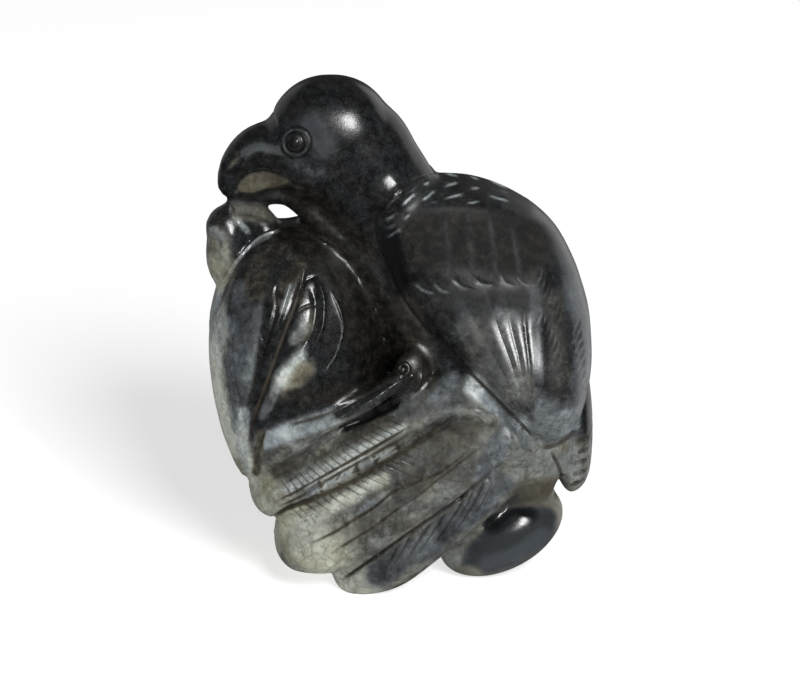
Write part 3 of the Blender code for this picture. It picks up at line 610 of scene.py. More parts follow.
def carve_leaves(relief):
    relief.groove([(391, 381), (365, 395), (341, 408), (319, 416.6), (290, 424.5)], 0.38, 1.9)
    relief.groove([(403, 379), (388, 389), (374, 399), (343, 416), (318, 426)], -0.16, 1.8)
    relief.groove([(405, 397), (388, 406), (365, 418), (344, 427), (318, 437), (288, 446)], 0.50,
            3.2)
    relief.groove([(267, 426), (261, 440), (257, 454), (257, 470)], 0.60, 3.4)
    relief.groove([(262, 430), (256, 446), (252, 462)], -0.15, 1.4)
    relief.oval(KNOT, (4.2, 4.4), 0, 0.08, 1.4, -0.50)
    relief.oval(KNOT, (8.4, 8.6), 0, 0.12, 1.5)
    relief.groove([(424, 371), (419, 385), (408, 398)], -0.18, 1.3)
    relief.groove([(417, 374), (412, 386), (403, 395)], 0.14, 2.2)
    relief.groove([(236, 217), (248, 216), (262, 219), (276, 222)], 0.25, 1.8)
    relief.groove([(241, 205), (254, 203), (268, 206)], 0.20, 1.8)
    relief.groove([(234, 205), (236, 213), (241, 222)], 0.30, 2.0)
    relief.groove([(209, 229), (216, 234), (222, 242), (226, 252)], 0.20, 1.8)
    relief.groove([(541, 448), (560, 443), (580, 430)], 0.50, 2.4)
    relief.groove([(551, 450), (562, 470), (565, 486)], 0.35, 2.2)
    for at in ((594, 438), (594, 449), (591, 461), (589, 472), (586, 483)):
        relief.groove([at, (at[0] - 12, at[1] + 4)], 0.45, 2.0, 0)


def carve_tail(relief):
    relief.step(FIRST_EDGE[::-1], 0.12, 0.28, 5.0)
    relief.groove(FIRST_EDGE, 0.30, 2.0, 12.0)
    relief.step(SECOND_EDGE[::-1], 0.15, 0.40, 6.0)
    relief.groove(SECOND_EDGE, 0.22, 1.6, 12.0)
    relief.groove(FIRST_TOP, 0.24, 1.5, 14.0)
    relief.groove(FIRST_LOW, 0.26, 1.8, 14.0)
    relief.groove(SECOND_TOP, 0.18, 1.5, 14.0)
    relief.groove(SECOND_LOW, 0.14, 1.3, 14.0)
    relief.barbs(FIRST_TOP, 0.5, 26, (-0.70, -0.10), 7.4, 0.12, 0.0, 0.97)
    relief.barbs(FIRST_LOW, -1, -12, (-0.2, -0.2), 19.0, 0.10)
    relief.barbs(FIRST_EDGE, -1.5, -24, (0.70, 0.45), 7.8, 0.12, 0.22, 0.95)
    relief.barbs(SECOND_TOP, 0.5, 12, (-0.2, 0.3), 11.0, 0.07, 0.10, 0.90)
    relief.barbs(SECOND_LOW, -2, -25, (-0.7, -0.5), 9.5, 0.05, 0.40, 0.96)
    relief.barbs(SECOND_EDGE, -3, -34, (-2.0, -2.0), 18.0, 0.13, 0.10, 0.80)
    for i in range(5):
        top = np.array((485, 448)) + (7 * i, -4.5 * i)
        relief.flick([top, top + (-6, 27)], 0.18, 1.8)
    relief.flick([(470, 408), (495, 418)], 0.34, 1.8)
    relief.flick([(464, 415), (484, 424)], 0.26, 1.6)


def carve(points, normals):
    relief = Drawing(points, normals)
    for cut in (carve_head, carve_wing, carve_peach, carve_leaves, carve_tail):
        cut(relief)
    return relief


class Stone:
    """The stone's colours on the drawing, with the highlights, reflections and shade that some
    strokes paint into them: how pale, warm, matt and even each point is.
    """

    def __init__(self, drawing):
        self.drawing = drawing
        count = len(drawing.u)
        self.pale = np.full(count, 0.10)
        self.warm = np.full(count, 0.20)
        self.matt = np.full(count, 0.15)
        self.even = np.zeros(count)

    def blend(self, found, share, values):
        for layer, value in zip((self.pale, self.warm, self.matt, self.even), values):
            if value is not None:
                layer[found] += (value - layer[found]) * share

    def stroke(self, line, reach, pale=None, warm=None, matt=None, even=None, core=0.35, taper=0.0):
        """Tints along a line, in full over its core and less and less out to its reach."""
        found, side, run, length = self.drawing.along(line, reach)
        share = np.clip((1 - np.abs(side) / reach) / (1 - core), 0, 1)
        share *= run_out(run, length, taper, 0.2)
        self.blend(found, share * share * (3 - 2 * share), (pale, warm, matt, even))

    def patch(self, outline, soft, pale=None, warm=None, matt=None, even=None):
        """Tints everything inside a closed outline, with an edge of that softness."""
        found, side, _, _ = self.drawing.along(outline, soft)
        share = self.drawing.inside(outline).astype(float)
        edge = np.clip(0.5 + 0.5 * np.abs(side) / soft, 0, 1)
        share[found] = np.where(share[found] > 0, edge, 1 - edge)
        self.blend(slice(None), share, (pale, warm, matt, even))


def tint_tail(stroke, patch):
    patch([(236, 470), (300, 436), (345, 416), (420, 396), (470, 378), (545, 440), (600, 440),
            (600, 620), (330, 640), (220, 560), (236, 470)], 12.0, 0.54, 0.46, matt=0.35)
    stroke([(262, 500), (330, 560)], 42, 0.82, 0.74)
    stroke([(345, 590), (375, 578)], 26, 0.92, 0.66)
    stroke([(290, 455), (330, 437)], 14, 0.50, 0.34)
    stroke([(280, 470), (318, 452), (352, 436), (392, 416)], 10, 0.42, 0.60)
    stroke([(290, 488), (316, 474), (352, 454), (376, 442), (404, 427)], 7, 0.82, 0.30)
    stroke([(400, 412), (430, 402), (455, 396)], 16, 0.40, 0.28)
    stroke([(418, 436), (450, 420)], 11, 0.30, 0.42)
    stroke([(402, 492), (420, 478), (440, 462)], 15, 0.42, 0.56)
    stroke([(310, 520), (345, 500), (375, 483), (384, 478)], 10, 0.86, 0.60)
    stroke([(440, 440), (470, 430)], 16, 0.48, 0.62)
    stroke([(356, 516), (380, 500), (398, 488)], 7, 0.70, 0.20, taper=14.0)
    stroke(FIRST_TOP, 2.2, 0.30, 0.80, taper=40.0)
    stroke(FIRST_LOW, 2.2, 0.26, 0.70, taper=40.0)
    stroke([(299, 491), (338, 470.5), (360, 459), (384, 446)], 2.0, 0.82, 0.30, taper=20.0)
    stroke([(298, 500), (323, 486), (360, 466.5), (400, 446)], 4.5, 0.76, 0.16, taper=20.0)
    stroke(FIRST_EDGE, 4.0, 0.34, 1.0, taper=30.0)
    stroke(SECOND_TOP, 2.2, 0.34, 0.90, taper=40.0)
    stroke(SECOND_LOW, 2.0, 0.38, 0.80, taper=40.0)
    stroke(SECOND_EDGE, 2.2, 0.16, 0.50, taper=30.0)
    for u, v in FIRST_CRACKS:
        stroke([(u - 2, v - 5), (u + 1, v + 5)], 2.2, 0.24, 0.70)
    stroke([(380, 574), (440, 534), (480, 505), (500, 482)], 19, 0.42, 0.06)
    # Painted highlight: a pale soft band on the rump where the light glints.
    stroke([(478, 385), (500, 402), (522, 428)], 18, 0.92, 0.03)
    stroke([(452, 380), (438, 396)], 13, 0.56, 0.06)
    stroke([(508, 430), (495, 452), (485, 475)], 16, 0.54, 0.04)
    stroke([(522, 440), (516, 465)], 16, 0.60, 0.40)


def tint_peach(stroke, patch):
    stroke([(204, 322), (208, 380), (220, 430), (240, 470)], 33, 1.0, 0.55)
    stroke([(214, 300), (224, 330)], 18, 0.74, 0.30)
    stroke([(246, 292), (243, 340), (242, 385), (246, 425)], 16, 0.44, 0.04)
    stroke([(262, 310), (256, 350), (250, 390)], 8, 0.50, 0.10)
    stroke([(284, 250), (262, 268), (262, 290)], 18, 0.28, 0.60)
    stroke([(302, 264), (284, 300)], 14, 0.26, 0.75)
    # Painted highlight on the midrib's raised top.
    stroke([(293, 288), (286, 312)], 5, 0.62, 0.20)
    stroke([(304, 296), (312, 318), (306, 336)], 9, 0.34, 0.55)
    patch([(280, 372), (288, 363), (306, 347), (309, 363), (298, 385), (282, 391), (275, 388),
            (280, 372)], 4.0, 0.92, 0.22)
    stroke([(280, 388), (271, 406)], 7, 0.66, 0.20)
    patch([(302, 362), (317, 363), (317, 374), (301, 390), (285, 401), (290, 386), (302, 362)], 4.0,
            0.50, 0.95, matt=0.3)
    stroke([(308, 326), (298, 340)], 9, 0.56, 0.30)
    stroke([(299.5, 302), (287.5, 334), (277, 363), (257, 417)], 3, 0.40, 0.85, matt=0.4)
    stroke([(272, 400), (266, 416)], 7, 0.42, 0.05)
    stroke([(246, 412), (244, 470)], 9, 0.86, 0.25)
    stroke([(235, 465), (246, 490)], 12, 0.74, 0.80)
    stroke([(296, 396), (345, 392), (380, 374)], 12, 0.10, 0.95, matt=0.35)
    # Dark stone on the peach's right side, darkened further as painted shade in the recess by the
    # wing.
    stroke([(338, 262), (352, 300), (364, 340), (368, 376)], 22, 0.02, 0.60, matt=0.28, core=0.6)
    # Painted highlights: pale lines along the leaf's rolled rims.
    stroke(LEAF_RIM[:6], 2.6, 0.70, 0.10)
    stroke([(217, 318), (231, 279), (250, 251), (272, 238)], 2.4, 0.60, 0.10)


def tint_leaves(stroke, patch):
    stroke([(266, 440), (298, 428), (336, 416)], 15, 0.76, 0.06)
    stroke([(342, 412), (372, 398), (402, 380)], 9, 0.22, 0.20)
    # Painted shade: a dark band in the groove under the crossing leaf, where it overhangs the tail.
    stroke([(345, 428), (370, 417), (396, 405)], 6, 0.05, 0.40)
    stroke([(264, 432), (258, 472)], 6, 0.42, 1.0, matt=0.7)
    stroke([(220, 240), (224, 275)], 20, 0.60, 0.62)
    stroke([(214, 262), (220, 285)], 12, 0.72, 0.80)
    stroke([(222, 220), (236, 213)], 10, 0.14, 0.40)
    stroke([(216, 232), (224, 238)], 8, 0.62, 0.20)
    patch([(233, 203), (267, 207), (279, 220), (259, 224), (238, 218), (233, 203)], 4.0, 0.42, 0.60,
            matt=0.9)
    stroke([(238, 218), (244, 226), (250, 232)], 5, 0.70, 0.30)
    stroke([(568, 455), (575, 488)], 24, 0.66, 0.34)
    stroke([(552, 448), (566, 446)], 8, 0.56, 0.85)
    stroke([(592, 392), (590, 425)], 10, 0.04, 0.20)
    stroke([(545, 455), (530, 478)], 20, 0.62, 0.50)


def tint_fruit(stroke, patch):
    patch([(430, 580), (470, 545), (505, 500), (545, 480), (572, 500), (560, 560), (500, 590),
            (430, 580)], 8.0, 0.58, 0.62, even=0.5)
    stroke([(525, 497), (556, 488)], 14, 0.44, 0.90)
    stroke([(440, 570), (464, 556)], 13, 0.66, 0.40)
    patch(DARK_END, 3.0, 0.30, 0.0, matt=0.05, even=0.9)
    # Painted reflection of the floor: the dark end is lighter towards its bottom and kept black
    # towards its top.
    stroke([(490, 566), (516, 558), (545, 538)], 14, 0.40, 0.0)
    stroke([(494, 526), (510, 518), (530, 516)], 12, 0.03, 0.0)
    stroke([(500, 508), (516, 500)], 7, 0.42, 0.40)


def tint_wing(stroke, patch):
    # Lighter grey stone along the wing's right edge, with a painted reflection of the bright
    # surroundings on that grazing side.
    stroke([(556, 238), (574, 292)], 24, 0.24, 0.02, matt=0.2, even=0.2, core=0.1)
    stroke([(576, 296), (588, 345), (582, 400)], 30, 0.46, 0.02, matt=0.25, even=0.25, core=0.15)
    stroke([(534, 290), (535, 350), (539, 410)], 9, 0.42, 0.06)
    stroke([(553, 300), (558, 350), (556, 395)], 15, 0.22, 0.50, matt=0.45)
    stroke([(545, 414), (562, 425)], 26, 0.60, 0.04)
    stroke([(532, 436), (575, 420)], 18, 0.64, 0.06)
    # Lighter stone over the primaries, with painted sheen where their highlights fall.
    stroke([(470, 330), (490, 365), (515, 400)], 24, 0.38, 0.30)
    stroke([(505, 320), (524, 390)], 18, 0.50, 0.25)
    stroke([(425, 242), (470, 242), (520, 250)], 42, 0.02, 0.80, matt=0.92, core=0.45)
    for low, high in COVERT_LINES:
        stroke([low, high], 5, 0.0, 0.4, matt=0.62, core=0.1, taper=0.6)
    stroke([(425, 302), (470, 304), (500, 304), (534, 300)], 30, matt=0.72, core=0.1)
    stroke([(470, 312), (482, 338), (498, 374)], 17, matt=0.62, core=0.5)
    stroke([(390, 240), (400, 285)], 16, 0.0, 0.10, matt=0.0, even=1.0)
    stroke([(420, 195), (480, 190), (520, 205)], 22, 0.18, 0.30, matt=0.45)
    # Painted glints: pale strokes along the shoulder's scale cuts and the coverts' tips, where
    # their edges catch the light.
    for cut in SCALE_CUTS:
        stroke(cut, 2.1, 0.92, 0.05, taper=7.0)
    for cut in FAINT_SCALE_CUTS:
        stroke(cut, 2.0, 0.46, 0.05, taper=7.0)
    for tip in COVERT_TIPS:
        stroke(tip, 2.6, 0.46, 0.10, taper=7.0)


def tint_head(stroke, patch):
    # Dark brown matt stone on the throat and breast, darkened further as painted shade in the
    # recess between the peach and the wing.
    stroke([(304, 215), (330, 240), (362, 290), (390, 355)], 38, 0.06, 0.80, matt=0.30, core=0.6)
    stroke([(405, 300), (420, 340), (425, 372)], 20, 0.12, 0.80, matt=0.30)
    patch(MOUTH, 1.8, 0.46, 1.0, matt=1.0)
    stroke([(246, 199), (270, 199), (292, 193)], 6, 0.0, 0.60, matt=0.5)
    stroke([(384, 196), (398, 183), (412, 172)], 12, 0.16, 0.20, matt=0.16)
    # Painted sheen: a soft pale patch right of the eye.
    stroke([(314, 128), (328, 150)], 20, 0.34, 0.06, even=0.7)
    stroke([(300, 168), (320, 176)], 14, 0.28, 0.10)
    # Painted sheen: a pale soft band along the beak above the jaw line.
    stroke([(248, 156), (262, 150), (290, 156)], 7, 0.42, 0.03, even=0.7)
    stroke([(232, 170), (242, 160)], 4, 0.28, 0.60, matt=0.6)
    stroke(circle(EYE, 12.6), 3.0, 0.36, 0.10, matt=0.30)
    for radius in (15.2, 10.0, 5.2):
        stroke(circle(EYE, radius), 2.0, 0.0, 0.20, matt=0.5)


def tint(drawing):
    stone = Stone(drawing)
    for layer in (tint_tail, tint_peach, tint_head, tint_wing, tint_leaves, tint_fruit):
        layer(stone.stroke, stone.patch)
    return stone


def mesh_of(name, shapes):
    """One mesh that holds all the closed forms, still overlapping."""
    points = []
    faces = []
    shift = 0
    for shape_points, shape_faces in shapes:
        points.append(shape_points * PART)
        faces += [tuple(shift + i for i in face) for face in shape_faces]
        shift += len(shape_points)
    mesh = bpy.data.meshes.new(name)
    mesh.from_pydata(np.vstack(points).tolist(), [], faces)
    return mesh


def settled(obj):
    """Replaces the object's mesh with what its modifiers make of it."""
    bpy.context.view_layer.update()
    graph = bpy.context.evaluated_depsgraph_get()
    mesh = bpy.data.meshes.new_from_object(obj.evaluated_get(graph))
    obj.modifiers.clear()
    obj.data = mesh
    return mesh


def fuse(obj, grain, passes):
    """One skin round everything in the object, polished."""
    skin = obj.modifiers.new("fuse", "REMESH")
    skin.mode = "VOXEL"
    skin.voxel_size = grain
    skin.use_smooth_shade = True
    polish = obj.modifiers.new("polish", "SMOOTH")
    polish.factor = 0.5
    polish.iterations = passes
    settled(obj)


def read(items, name, width=3):
    values = np.empty(len(items) * width, np.float32)
    items.foreach_get(name, values)
    return values.reshape(-1, width).astype(float)


def drawn(mesh):
    """The relief laid out on the mesh's points."""
    return carve(read(mesh.vertices, "co"), read(mesh.vertex_normals, "vector"))


def triangles(mesh):
    return sum(len(p.vertices) - 2 for p in mesh.polygons)


def cut_relief(obj, material, sizes):
    """Cuts the drawn relief into the skin, with the rows of barbs beside the feathers' shafts."""
    drawing = drawn(obj.data)
    for name, attribute in CUT_LAYERS.items():
        keep_layer(obj.data, attribute, getattr(drawing, name))
    tree, sockets = cutter_tree()
    cutter = obj.modifiers.new("cutter", "NODES")
    cutter.node_group = tree
    for name, value in (("Relief depth", sizes.relief), ("Barb depth", sizes.barbs),
                        ("Stone", material)):
        cutter[sockets[name]] = value
    settled(obj)


def cutter_tree():
    """The carver's wheel: moves the skin's points in by the depths that are laid out on it."""
    tree = bpy.data.node_groups.new("relief_cutter", "GeometryNodeTree")
    tree.interface.new_socket("Geometry", in_out="INPUT", socket_type="NodeSocketGeometry")
    sockets = {}
    for name, kind in (("Relief depth", "NodeSocketFloat"), ("Barb depth", "NodeSocketFloat"),
                       ("Stone", "NodeSocketMaterial")):
        made = tree.interface.new_socket(name, in_out="INPUT", socket_type=kind)
        sockets[name] = made.identifier
    tree.interface.new_socket("Geometry", in_out="OUTPUT", socket_type="NodeSocketGeometry")
    given = tree.nodes.new("NodeGroupInput").outputs
    relief, barb, barbed, barb_depth = (
        add(tree, "GeometryNodeInputNamedAttribute", {"Name": name}, "Attribute", data_type="FLOAT")
        for name in CUT_LAYERS.values())
    turn = add(tree, MATH, {0: barb, 1: 2 * math.pi}, operation="MULTIPLY")
    wave = add(tree, MATH, {0: turn}, operation="COSINE")
    wave = add(tree, MATH, {0: wave, 1: barbed}, operation="ADD")
    wave = add(tree, MATH, {0: wave, 1: 1.0}, operation="SUBTRACT", use_clamp=True)
    barbs = add(tree, MATH, {0: wave, 1: barb_depth}, operation="MULTIPLY")
    barbs = add(tree, MATH, {0: barbs, 1: given["Barb depth"]}, operation="MULTIPLY")
    depth = add(tree, MATH, {0: relief, 1: given["Relief depth"]}, operation="MULTIPLY")
    depth = add(tree, MATH, {0: depth, 1: barbs}, operation="SUBTRACT")
    normal = add(tree, "GeometryNodeInputNormal", out="Normal")
    offset = add(tree, VECTOR_MATH, {0: normal, "Scale": depth}, operation="SCALE")
    moved = add(tree, "GeometryNodeSetPosition", {"Geometry": given["Geometry"], "Offset": offset})
    real = add(tree, "GeometryNodeRealizeInstances", {"Geometry": moved})
    done = add(tree, "GeometryNodeSetMaterial", {"Geometry": real, "Material": given["Stone"]})
    tree.links.new(done, tree.nodes.new("NodeGroupOutput").inputs["Geometry"])
    return tree, sockets


def refine(obj, levels):
    """Splits the skin's facets and rounds them."""
    finer = obj.modifiers.new("finer", "SUBSURF")
    finer.levels = levels
    settled(obj)


def thin_out(obj, facets):
    """Keeps about so many triangles, most of them where the surface turns."""
    count = triangles(obj.data)
    if count > facets:
        # The modifier weighs facets best at this scale.
        obj.data.transform(Matrix.Scale(1 / PART, 4))
        fewer = obj.modifiers.new("facets", "DECIMATE")
        fewer.ratio = facets / count
        settled(obj)
        obj.data.transform(Matrix.Scale(PART, 4))


def grind_base(obj):
    """Cuts the underside flat at z = 0."""
    shape = bmesh.new()
    shape.from_mesh(obj.data)
    bmesh.ops.bisect_plane(shape, geom=shape.verts[:] + shape.edges[:] + shape.faces[:],
                           dist=0.02 * PART, plane_co=(0, 0, 0), plane_no=(0, 0, 1),
                           clear_inner=True)
    made = bmesh.ops.holes_fill(shape, edges=[e for e in shape.edges if e.is_boundary], sides=0)
    bmesh.ops.triangulate(shape, faces=[f for f in shape.faces if len(f.verts) > 4])
    shape.to_mesh(obj.data)
    shape.free()
    return len(made["faces"])


def keep_layer(mesh, name, values):
    layer = mesh.attributes.get(name) or mesh.attributes.new(name, "FLOAT", "POINT")
    layer.data.foreach_set("value", np.asarray(values, np.float32))


def colour_layers(obj):
    """Stores what the material reads at each point: the stone's layers, which also carry painted
    highlights, reflections and shade, the dirt and the barbs.
    """
    drawing = drawn(obj.data)
    found = {**vars(drawing), **vars(tint(drawing))}
    for name in LAYERS:
        keep_layer(obj.data, name, found[name])


def centre_on_frame(obj):
    """Puts the middle of the skin's plan where the solid has its own."""
    mesh = obj.data
    points = read(mesh.vertices, "co")
    middle = (points.min(axis=0) + points.max(axis=0)) / 2
    goal = (np.array(LOW) + np.array(HIGH)) / 2
    points += (goal - middle) * (1, 1, 0)
    mesh.vertices.foreach_set("co", points.astype(np.float32).ravel())
    mesh.update()


def linear(code):
    """The linear colour of an sRGB hex code."""
    values = [int(code[i:i + 2], 16) / 255 for i in (1, 3, 5)]
    return tuple(v / 12.92 if v <= 0.04045 else ((v + 0.055) / 1.055) ** 2.4 for v in values)


def add(tree, kind, inputs=None, out=0, **settings):
    """Adds a node and gives one of its outputs. An input is named or numbered, and takes a value
    or another node's output.
    """
    made = tree.nodes.new(kind)
    for name, value in settings.items():
        setattr(made, name, value)
    for name, value in (inputs or {}).items():
        if isinstance(value, bpy.types.NodeSocket):
            tree.links.new(value, made.inputs[name])
        else:
            made.inputs[name].default_value = value
    return made.outputs[out]


def jade_material(colours):
    """Nephrite jade, black with a celadon skin, carved with wheels and abrasive and polished by
    hand: a waxy gloss over fine cloudy mottling and a net of dark healed cracks.
    """
    material = bpy.data.materials.new("polished_nephrite_jade")
    material.use_nodes = True
    tree = material.node_tree
    tree.nodes.clear()
    layer = {name: add(tree, "ShaderNodeAttribute", out="Fac", attribute_name=name)
             for name in LAYERS}
    place = add(tree, "ShaderNodeTexCoord", out="Object")
    millimetres = add(tree, VECTOR_MATH, {0: place, "Scale": 1 / PART}, operation="SCALE")

    # Each noise by what it makes, with its grains to the millimetre: clouds of 6 mm, mottling of
    # 1 mm and pits of 0.2 mm in the stone, and the reach of its warm places and of its cracks.
    clouds, mottle, speck, warm_reach, crack_reach = (
        add(tree, NOISE, {"Vector": millimetres, "Scale": per_mm, "Detail": detail,
                          "Roughness": rough, "Distortion": bend}, "Fac")
        for per_mm, detail, rough, bend in (
            (0.17, 5.0, 0.6, 0.8), (0.9, 4.0, 0.65, 0.3), (4.5, 2.0, 0.6, 0.0),
            (0.3, 3.0, 0.55, 0.0), (0.35, 3.0, 0.55, 0.0)))
    mottled = add(tree, MATH, {0: 1.0, 1: layer["even"]}, operation="SUBTRACT")

    # Healed cracks: cells of about 1.2 mm, with soft lines of 0.4 mm.
    warp = add(tree, NOISE, {"Vector": millimetres, "Scale": 0.9, "Detail": 3.0}, "Color")
    bent = add(tree, VECTOR_MATH, {0: warp, 1: (2.0, 2.0, 2.0), 2: millimetres},
               operation="MULTIPLY_ADD")
    cells = add(tree, "ShaderNodeTexVoronoi", {"Vector": bent, "Scale": 0.80}, "Distance",
                feature="DISTANCE_TO_EDGE")
    cracks = add(tree, RANGE, {"Value": cells, "From Max": 0.17, "To Min": 0.40, "To Max": 0.0},
                 **SMOOTH)
    cracked = add(tree, RANGE, {"Value": crack_reach, "From Min": 0.36, "From Max": 0.56}, **SMOOTH)
    cracked = add(tree, MATH, {0: cracked, 1: mottled}, operation="MULTIPLY")
    cracks = add(tree, MATH, {0: cracks, 1: cracked}, operation="MULTIPLY")

    # A feather's barbs: dark where the wheel cut.
    barbs = add(tree, MATH, {0: layer["barb"], 1: 2 * math.pi}, operation="MULTIPLY")
    barbs = add(tree, MATH, {0: barbs}, operation="COSINE")
    barbs = add(tree, MATH, {0: barbs, 1: layer["barbed"]}, operation="ADD")
    barbs = add(tree, RANGE, {"Value": barbs, "From Min": 1.0, "From Max": 1.9, "To Max": 0.72},
                **SMOOTH)
    deep = add(tree, RANGE, {"Value": layer["barb_depth"], "From Max": 0.16}, **SMOOTH)
    barbs = add(tree, MATH, {0: barbs, 1: deep}, operation="MULTIPLY")

    # How pale the stone is, with the highlights, reflections and shade painted into it: where it is
    # pale the clouds show, and where it is dark the mottling does. The last number of each takes
    # off the noise's own mean.
    clouded = add(tree, MATH, {0: clouds, 1: 0.70, 2: -0.62}, operation="MULTIPLY_ADD")
    clouded = add(tree, MATH, {0: mottle, 1: 0.54, 2: clouded}, operation="MULTIPLY_ADD")
    dull = add(tree, MATH, {0: mottle, 1: 0.80, 2: -0.54}, operation="MULTIPLY_ADD")
    dull = add(tree, MATH, {0: speck, 1: 0.32, 2: dull}, operation="MULTIPLY_ADD")
    spread = add(tree, RANGE, {"Value": layer["pale"], "From Min": 0.05, "From Max": 0.45},
                 **SMOOTH)
    change = add(tree, MIX, {0: spread, 2: dull, 3: clouded}, data_type="FLOAT")
    depth = add(tree, MATH, {0: change, 1: mottled, 2: layer["pale"]}, operation="MULTIPLY_ADD",
                use_clamp=True)

    bodies = []
    for names in (COLD_STONE, WARM_STONE):
        body = add(tree, "ShaderNodeValToRGB", {"Fac": depth})
        stops = body.node.color_ramp.elements
        while len(stops) < len(names):
            stops.new(0.5)
        for i, name in enumerate(names):
            stops[i].position = i / (len(names) - 1)
            stops[i].color = (*colours[name], 1)
        bodies.append(body)
    warmth = add(tree, MATH, {0: warm_reach, 1: 0.9, 2: -0.45}, operation="MULTIPLY_ADD")
    warmth = add(tree, MATH, {0: warmth, 1: layer["warm"]}, operation="ADD", use_clamp=True)
    body = add(tree, MIX, {0: warmth, 6: bodies[0], 7: bodies[1]}, 2, data_type="RGBA")
    for share in (cracks, barbs):
        body = add(tree, MIX, {0: share, 6: body, 7: (*colours["vein"], 1)}, 2, data_type="RGBA",
                   blend_type="MULTIPLY")

    # Dirt fills the cuts, and shows most in pale stone.
    fill = add(tree, RANGE, {"Value": layer["pale"], "From Min": 0.1, "From Max": 0.5,
                             "To Min": 0.25, "To Max": 0.80}, **SMOOTH)
    dirt = add(tree, RANGE, {"Value": layer["dirt"], "From Min": 0.06, "From Max": 0.34}, **SMOOTH)
    dirt = add(tree, MATH, {0: dirt, 1: fill}, operation="MULTIPLY")
    body = add(tree, MIX, {0: dirt, 6: body, 7: (*colours["dirt"], 1)}, 2, data_type="RGBA")

    # The polish: nearly a mirror on the high places, matt in the recesses and in the dirt.
    polish = add(tree, RANGE, {"Value": layer["matt"], "To Min": 0.09, "To Max": 0.77}, **SMOOTH)
    rough = add(tree, MATH, {0: speck, 1: 0.22, 2: polish}, operation="MULTIPLY_ADD")
    rough = add(tree, MATH, {0: dirt, 1: 0.2, 2: rough}, operation="MULTIPLY_ADD", use_clamp=True)
    pits = add(tree, RANGE, {"Value": layer["matt"], "To Min": 0.3, "To Max": 1.0})
    skin = add(tree, MATH, {0: speck, 1: pits}, operation="MULTIPLY")
    skin = add(tree, MATH, {0: mottle, 1: 0.4, 2: skin}, operation="MULTIPLY_ADD")
    bump = add(tree, "ShaderNodeBump", {"Strength": 0.4, "Distance": 0.06 * PART, "Height": skin})
    surface = add(tree, "ShaderNodeBsdfPrincipled",
                  {"Base Color": body, "Roughness": rough, "Normal": bump,
                   "IOR": NEPHRITE_IOR, "Metallic": 0.0})
    tree.links.new(surface, tree.nodes.new("ShaderNodeOutputMaterial").inputs["Surface"])
    return material


def plain_material(name, colour, rough, glow=0.0):
    material = bpy.data.materials.new(name)
    material.use_nodes = True
    surface = material.node_tree.nodes["Principled BSDF"]
    for socket, value in (("Base Color", (*colour, 1)), ("Roughness", rough),
                          ("Emission Color", (*colour, 1)), ("Emission Strength", glow)):
        surface.inputs[socket].default_value = value
    return material


def colour_property(name, description, code):
    return FloatVectorProperty(name=name, description=description, default=linear(code), size=3,
                               subtype="COLOR", min=0.0, max=1.0)


class JadeSizes(bpy.types.PropertyGroup):
    """Sizes of the carving's skin."""
    block_grain: FloatProperty(
        name="Block grain", description="Spacing at which the rough forms are fused",
        default=0.5 * PART, min=0.0001, unit="LENGTH")
    block_passes: IntProperty(
        name="Block passes", description="Passes of grinding over the fused forms",
        default=9, min=0)
    splits: IntProperty(
        name="Splits", description="How often the skin's facets are halved before it is cut",
        default=2, min=0, max=3)
    facets: IntProperty(
        name="Facets", description="Triangles that the finished skin keeps",
        default=194000, min=1000)
    relief: FloatProperty(
        name="Relief depth", description="Depth of a cut that is drawn one part deep",
        default=PART, min=0.0, unit="LENGTH")
    barbs: FloatProperty(
        name="Barb depth", description="Depth of a barb's cut that is laid out one part deep",
        default=PART, min=0.0, unit="LENGTH")


class JadeColours(bpy.types.PropertyGroup):
    """Colours of the stone, from its black body to its celadon skin."""
    black: colour_property("Black", "The darkest stone", "#08090b")
    charcoal: colour_property("Charcoal", "Dark stone", "#232629")
    slate: colour_property("Slate", "Middle grey stone", "#4b5054")
    grey: colour_property("Grey", "Light grey stone", "#7b8387")
    frost: colour_property("Frost", "The palest grey stone", "#b0b8ba")
    soot: colour_property("Soot", "The darkest warm stone", "#0c0b09")
    umber: colour_property("Umber", "Dark brown stone", "#2b2720")
    olive: colour_property("Olive", "Middle olive stone", "#585342")
    celadon: colour_property("Celadon", "Light grey-green stone", "#87856f")
    cream: colour_property("Cream", "The palest green stone", "#b5b6a2")
    vein: colour_property("Vein", "Tint of the healed cracks and the barbs", "#4c4842")
    dirt: colour_property("Dirt", "What has settled in the cuts", "#2b241a")


class StudioSizes(bpy.types.PropertyGroup):
    """The studio round the carving."""
    distance: FloatProperty(
        name="Camera distance", description="From the camera to the carving",
        default=0.7, min=0.1, unit="LENGTH")
    width: FloatProperty(
        name="View width", description="Width that the camera sees at the carving",
        default=0.1, min=0.01, unit="LENGTH")
    elevation: FloatProperty(
        name="Elevation", description="Height of the camera's line of sight",
        default=DRAWN_FROM, subtype="ANGLE", unit="ROTATION")
    floor: FloatProperty(
        name="Floor radius", description="Radius of the pale floor",
        default=6.0, min=0.1, unit="LENGTH")


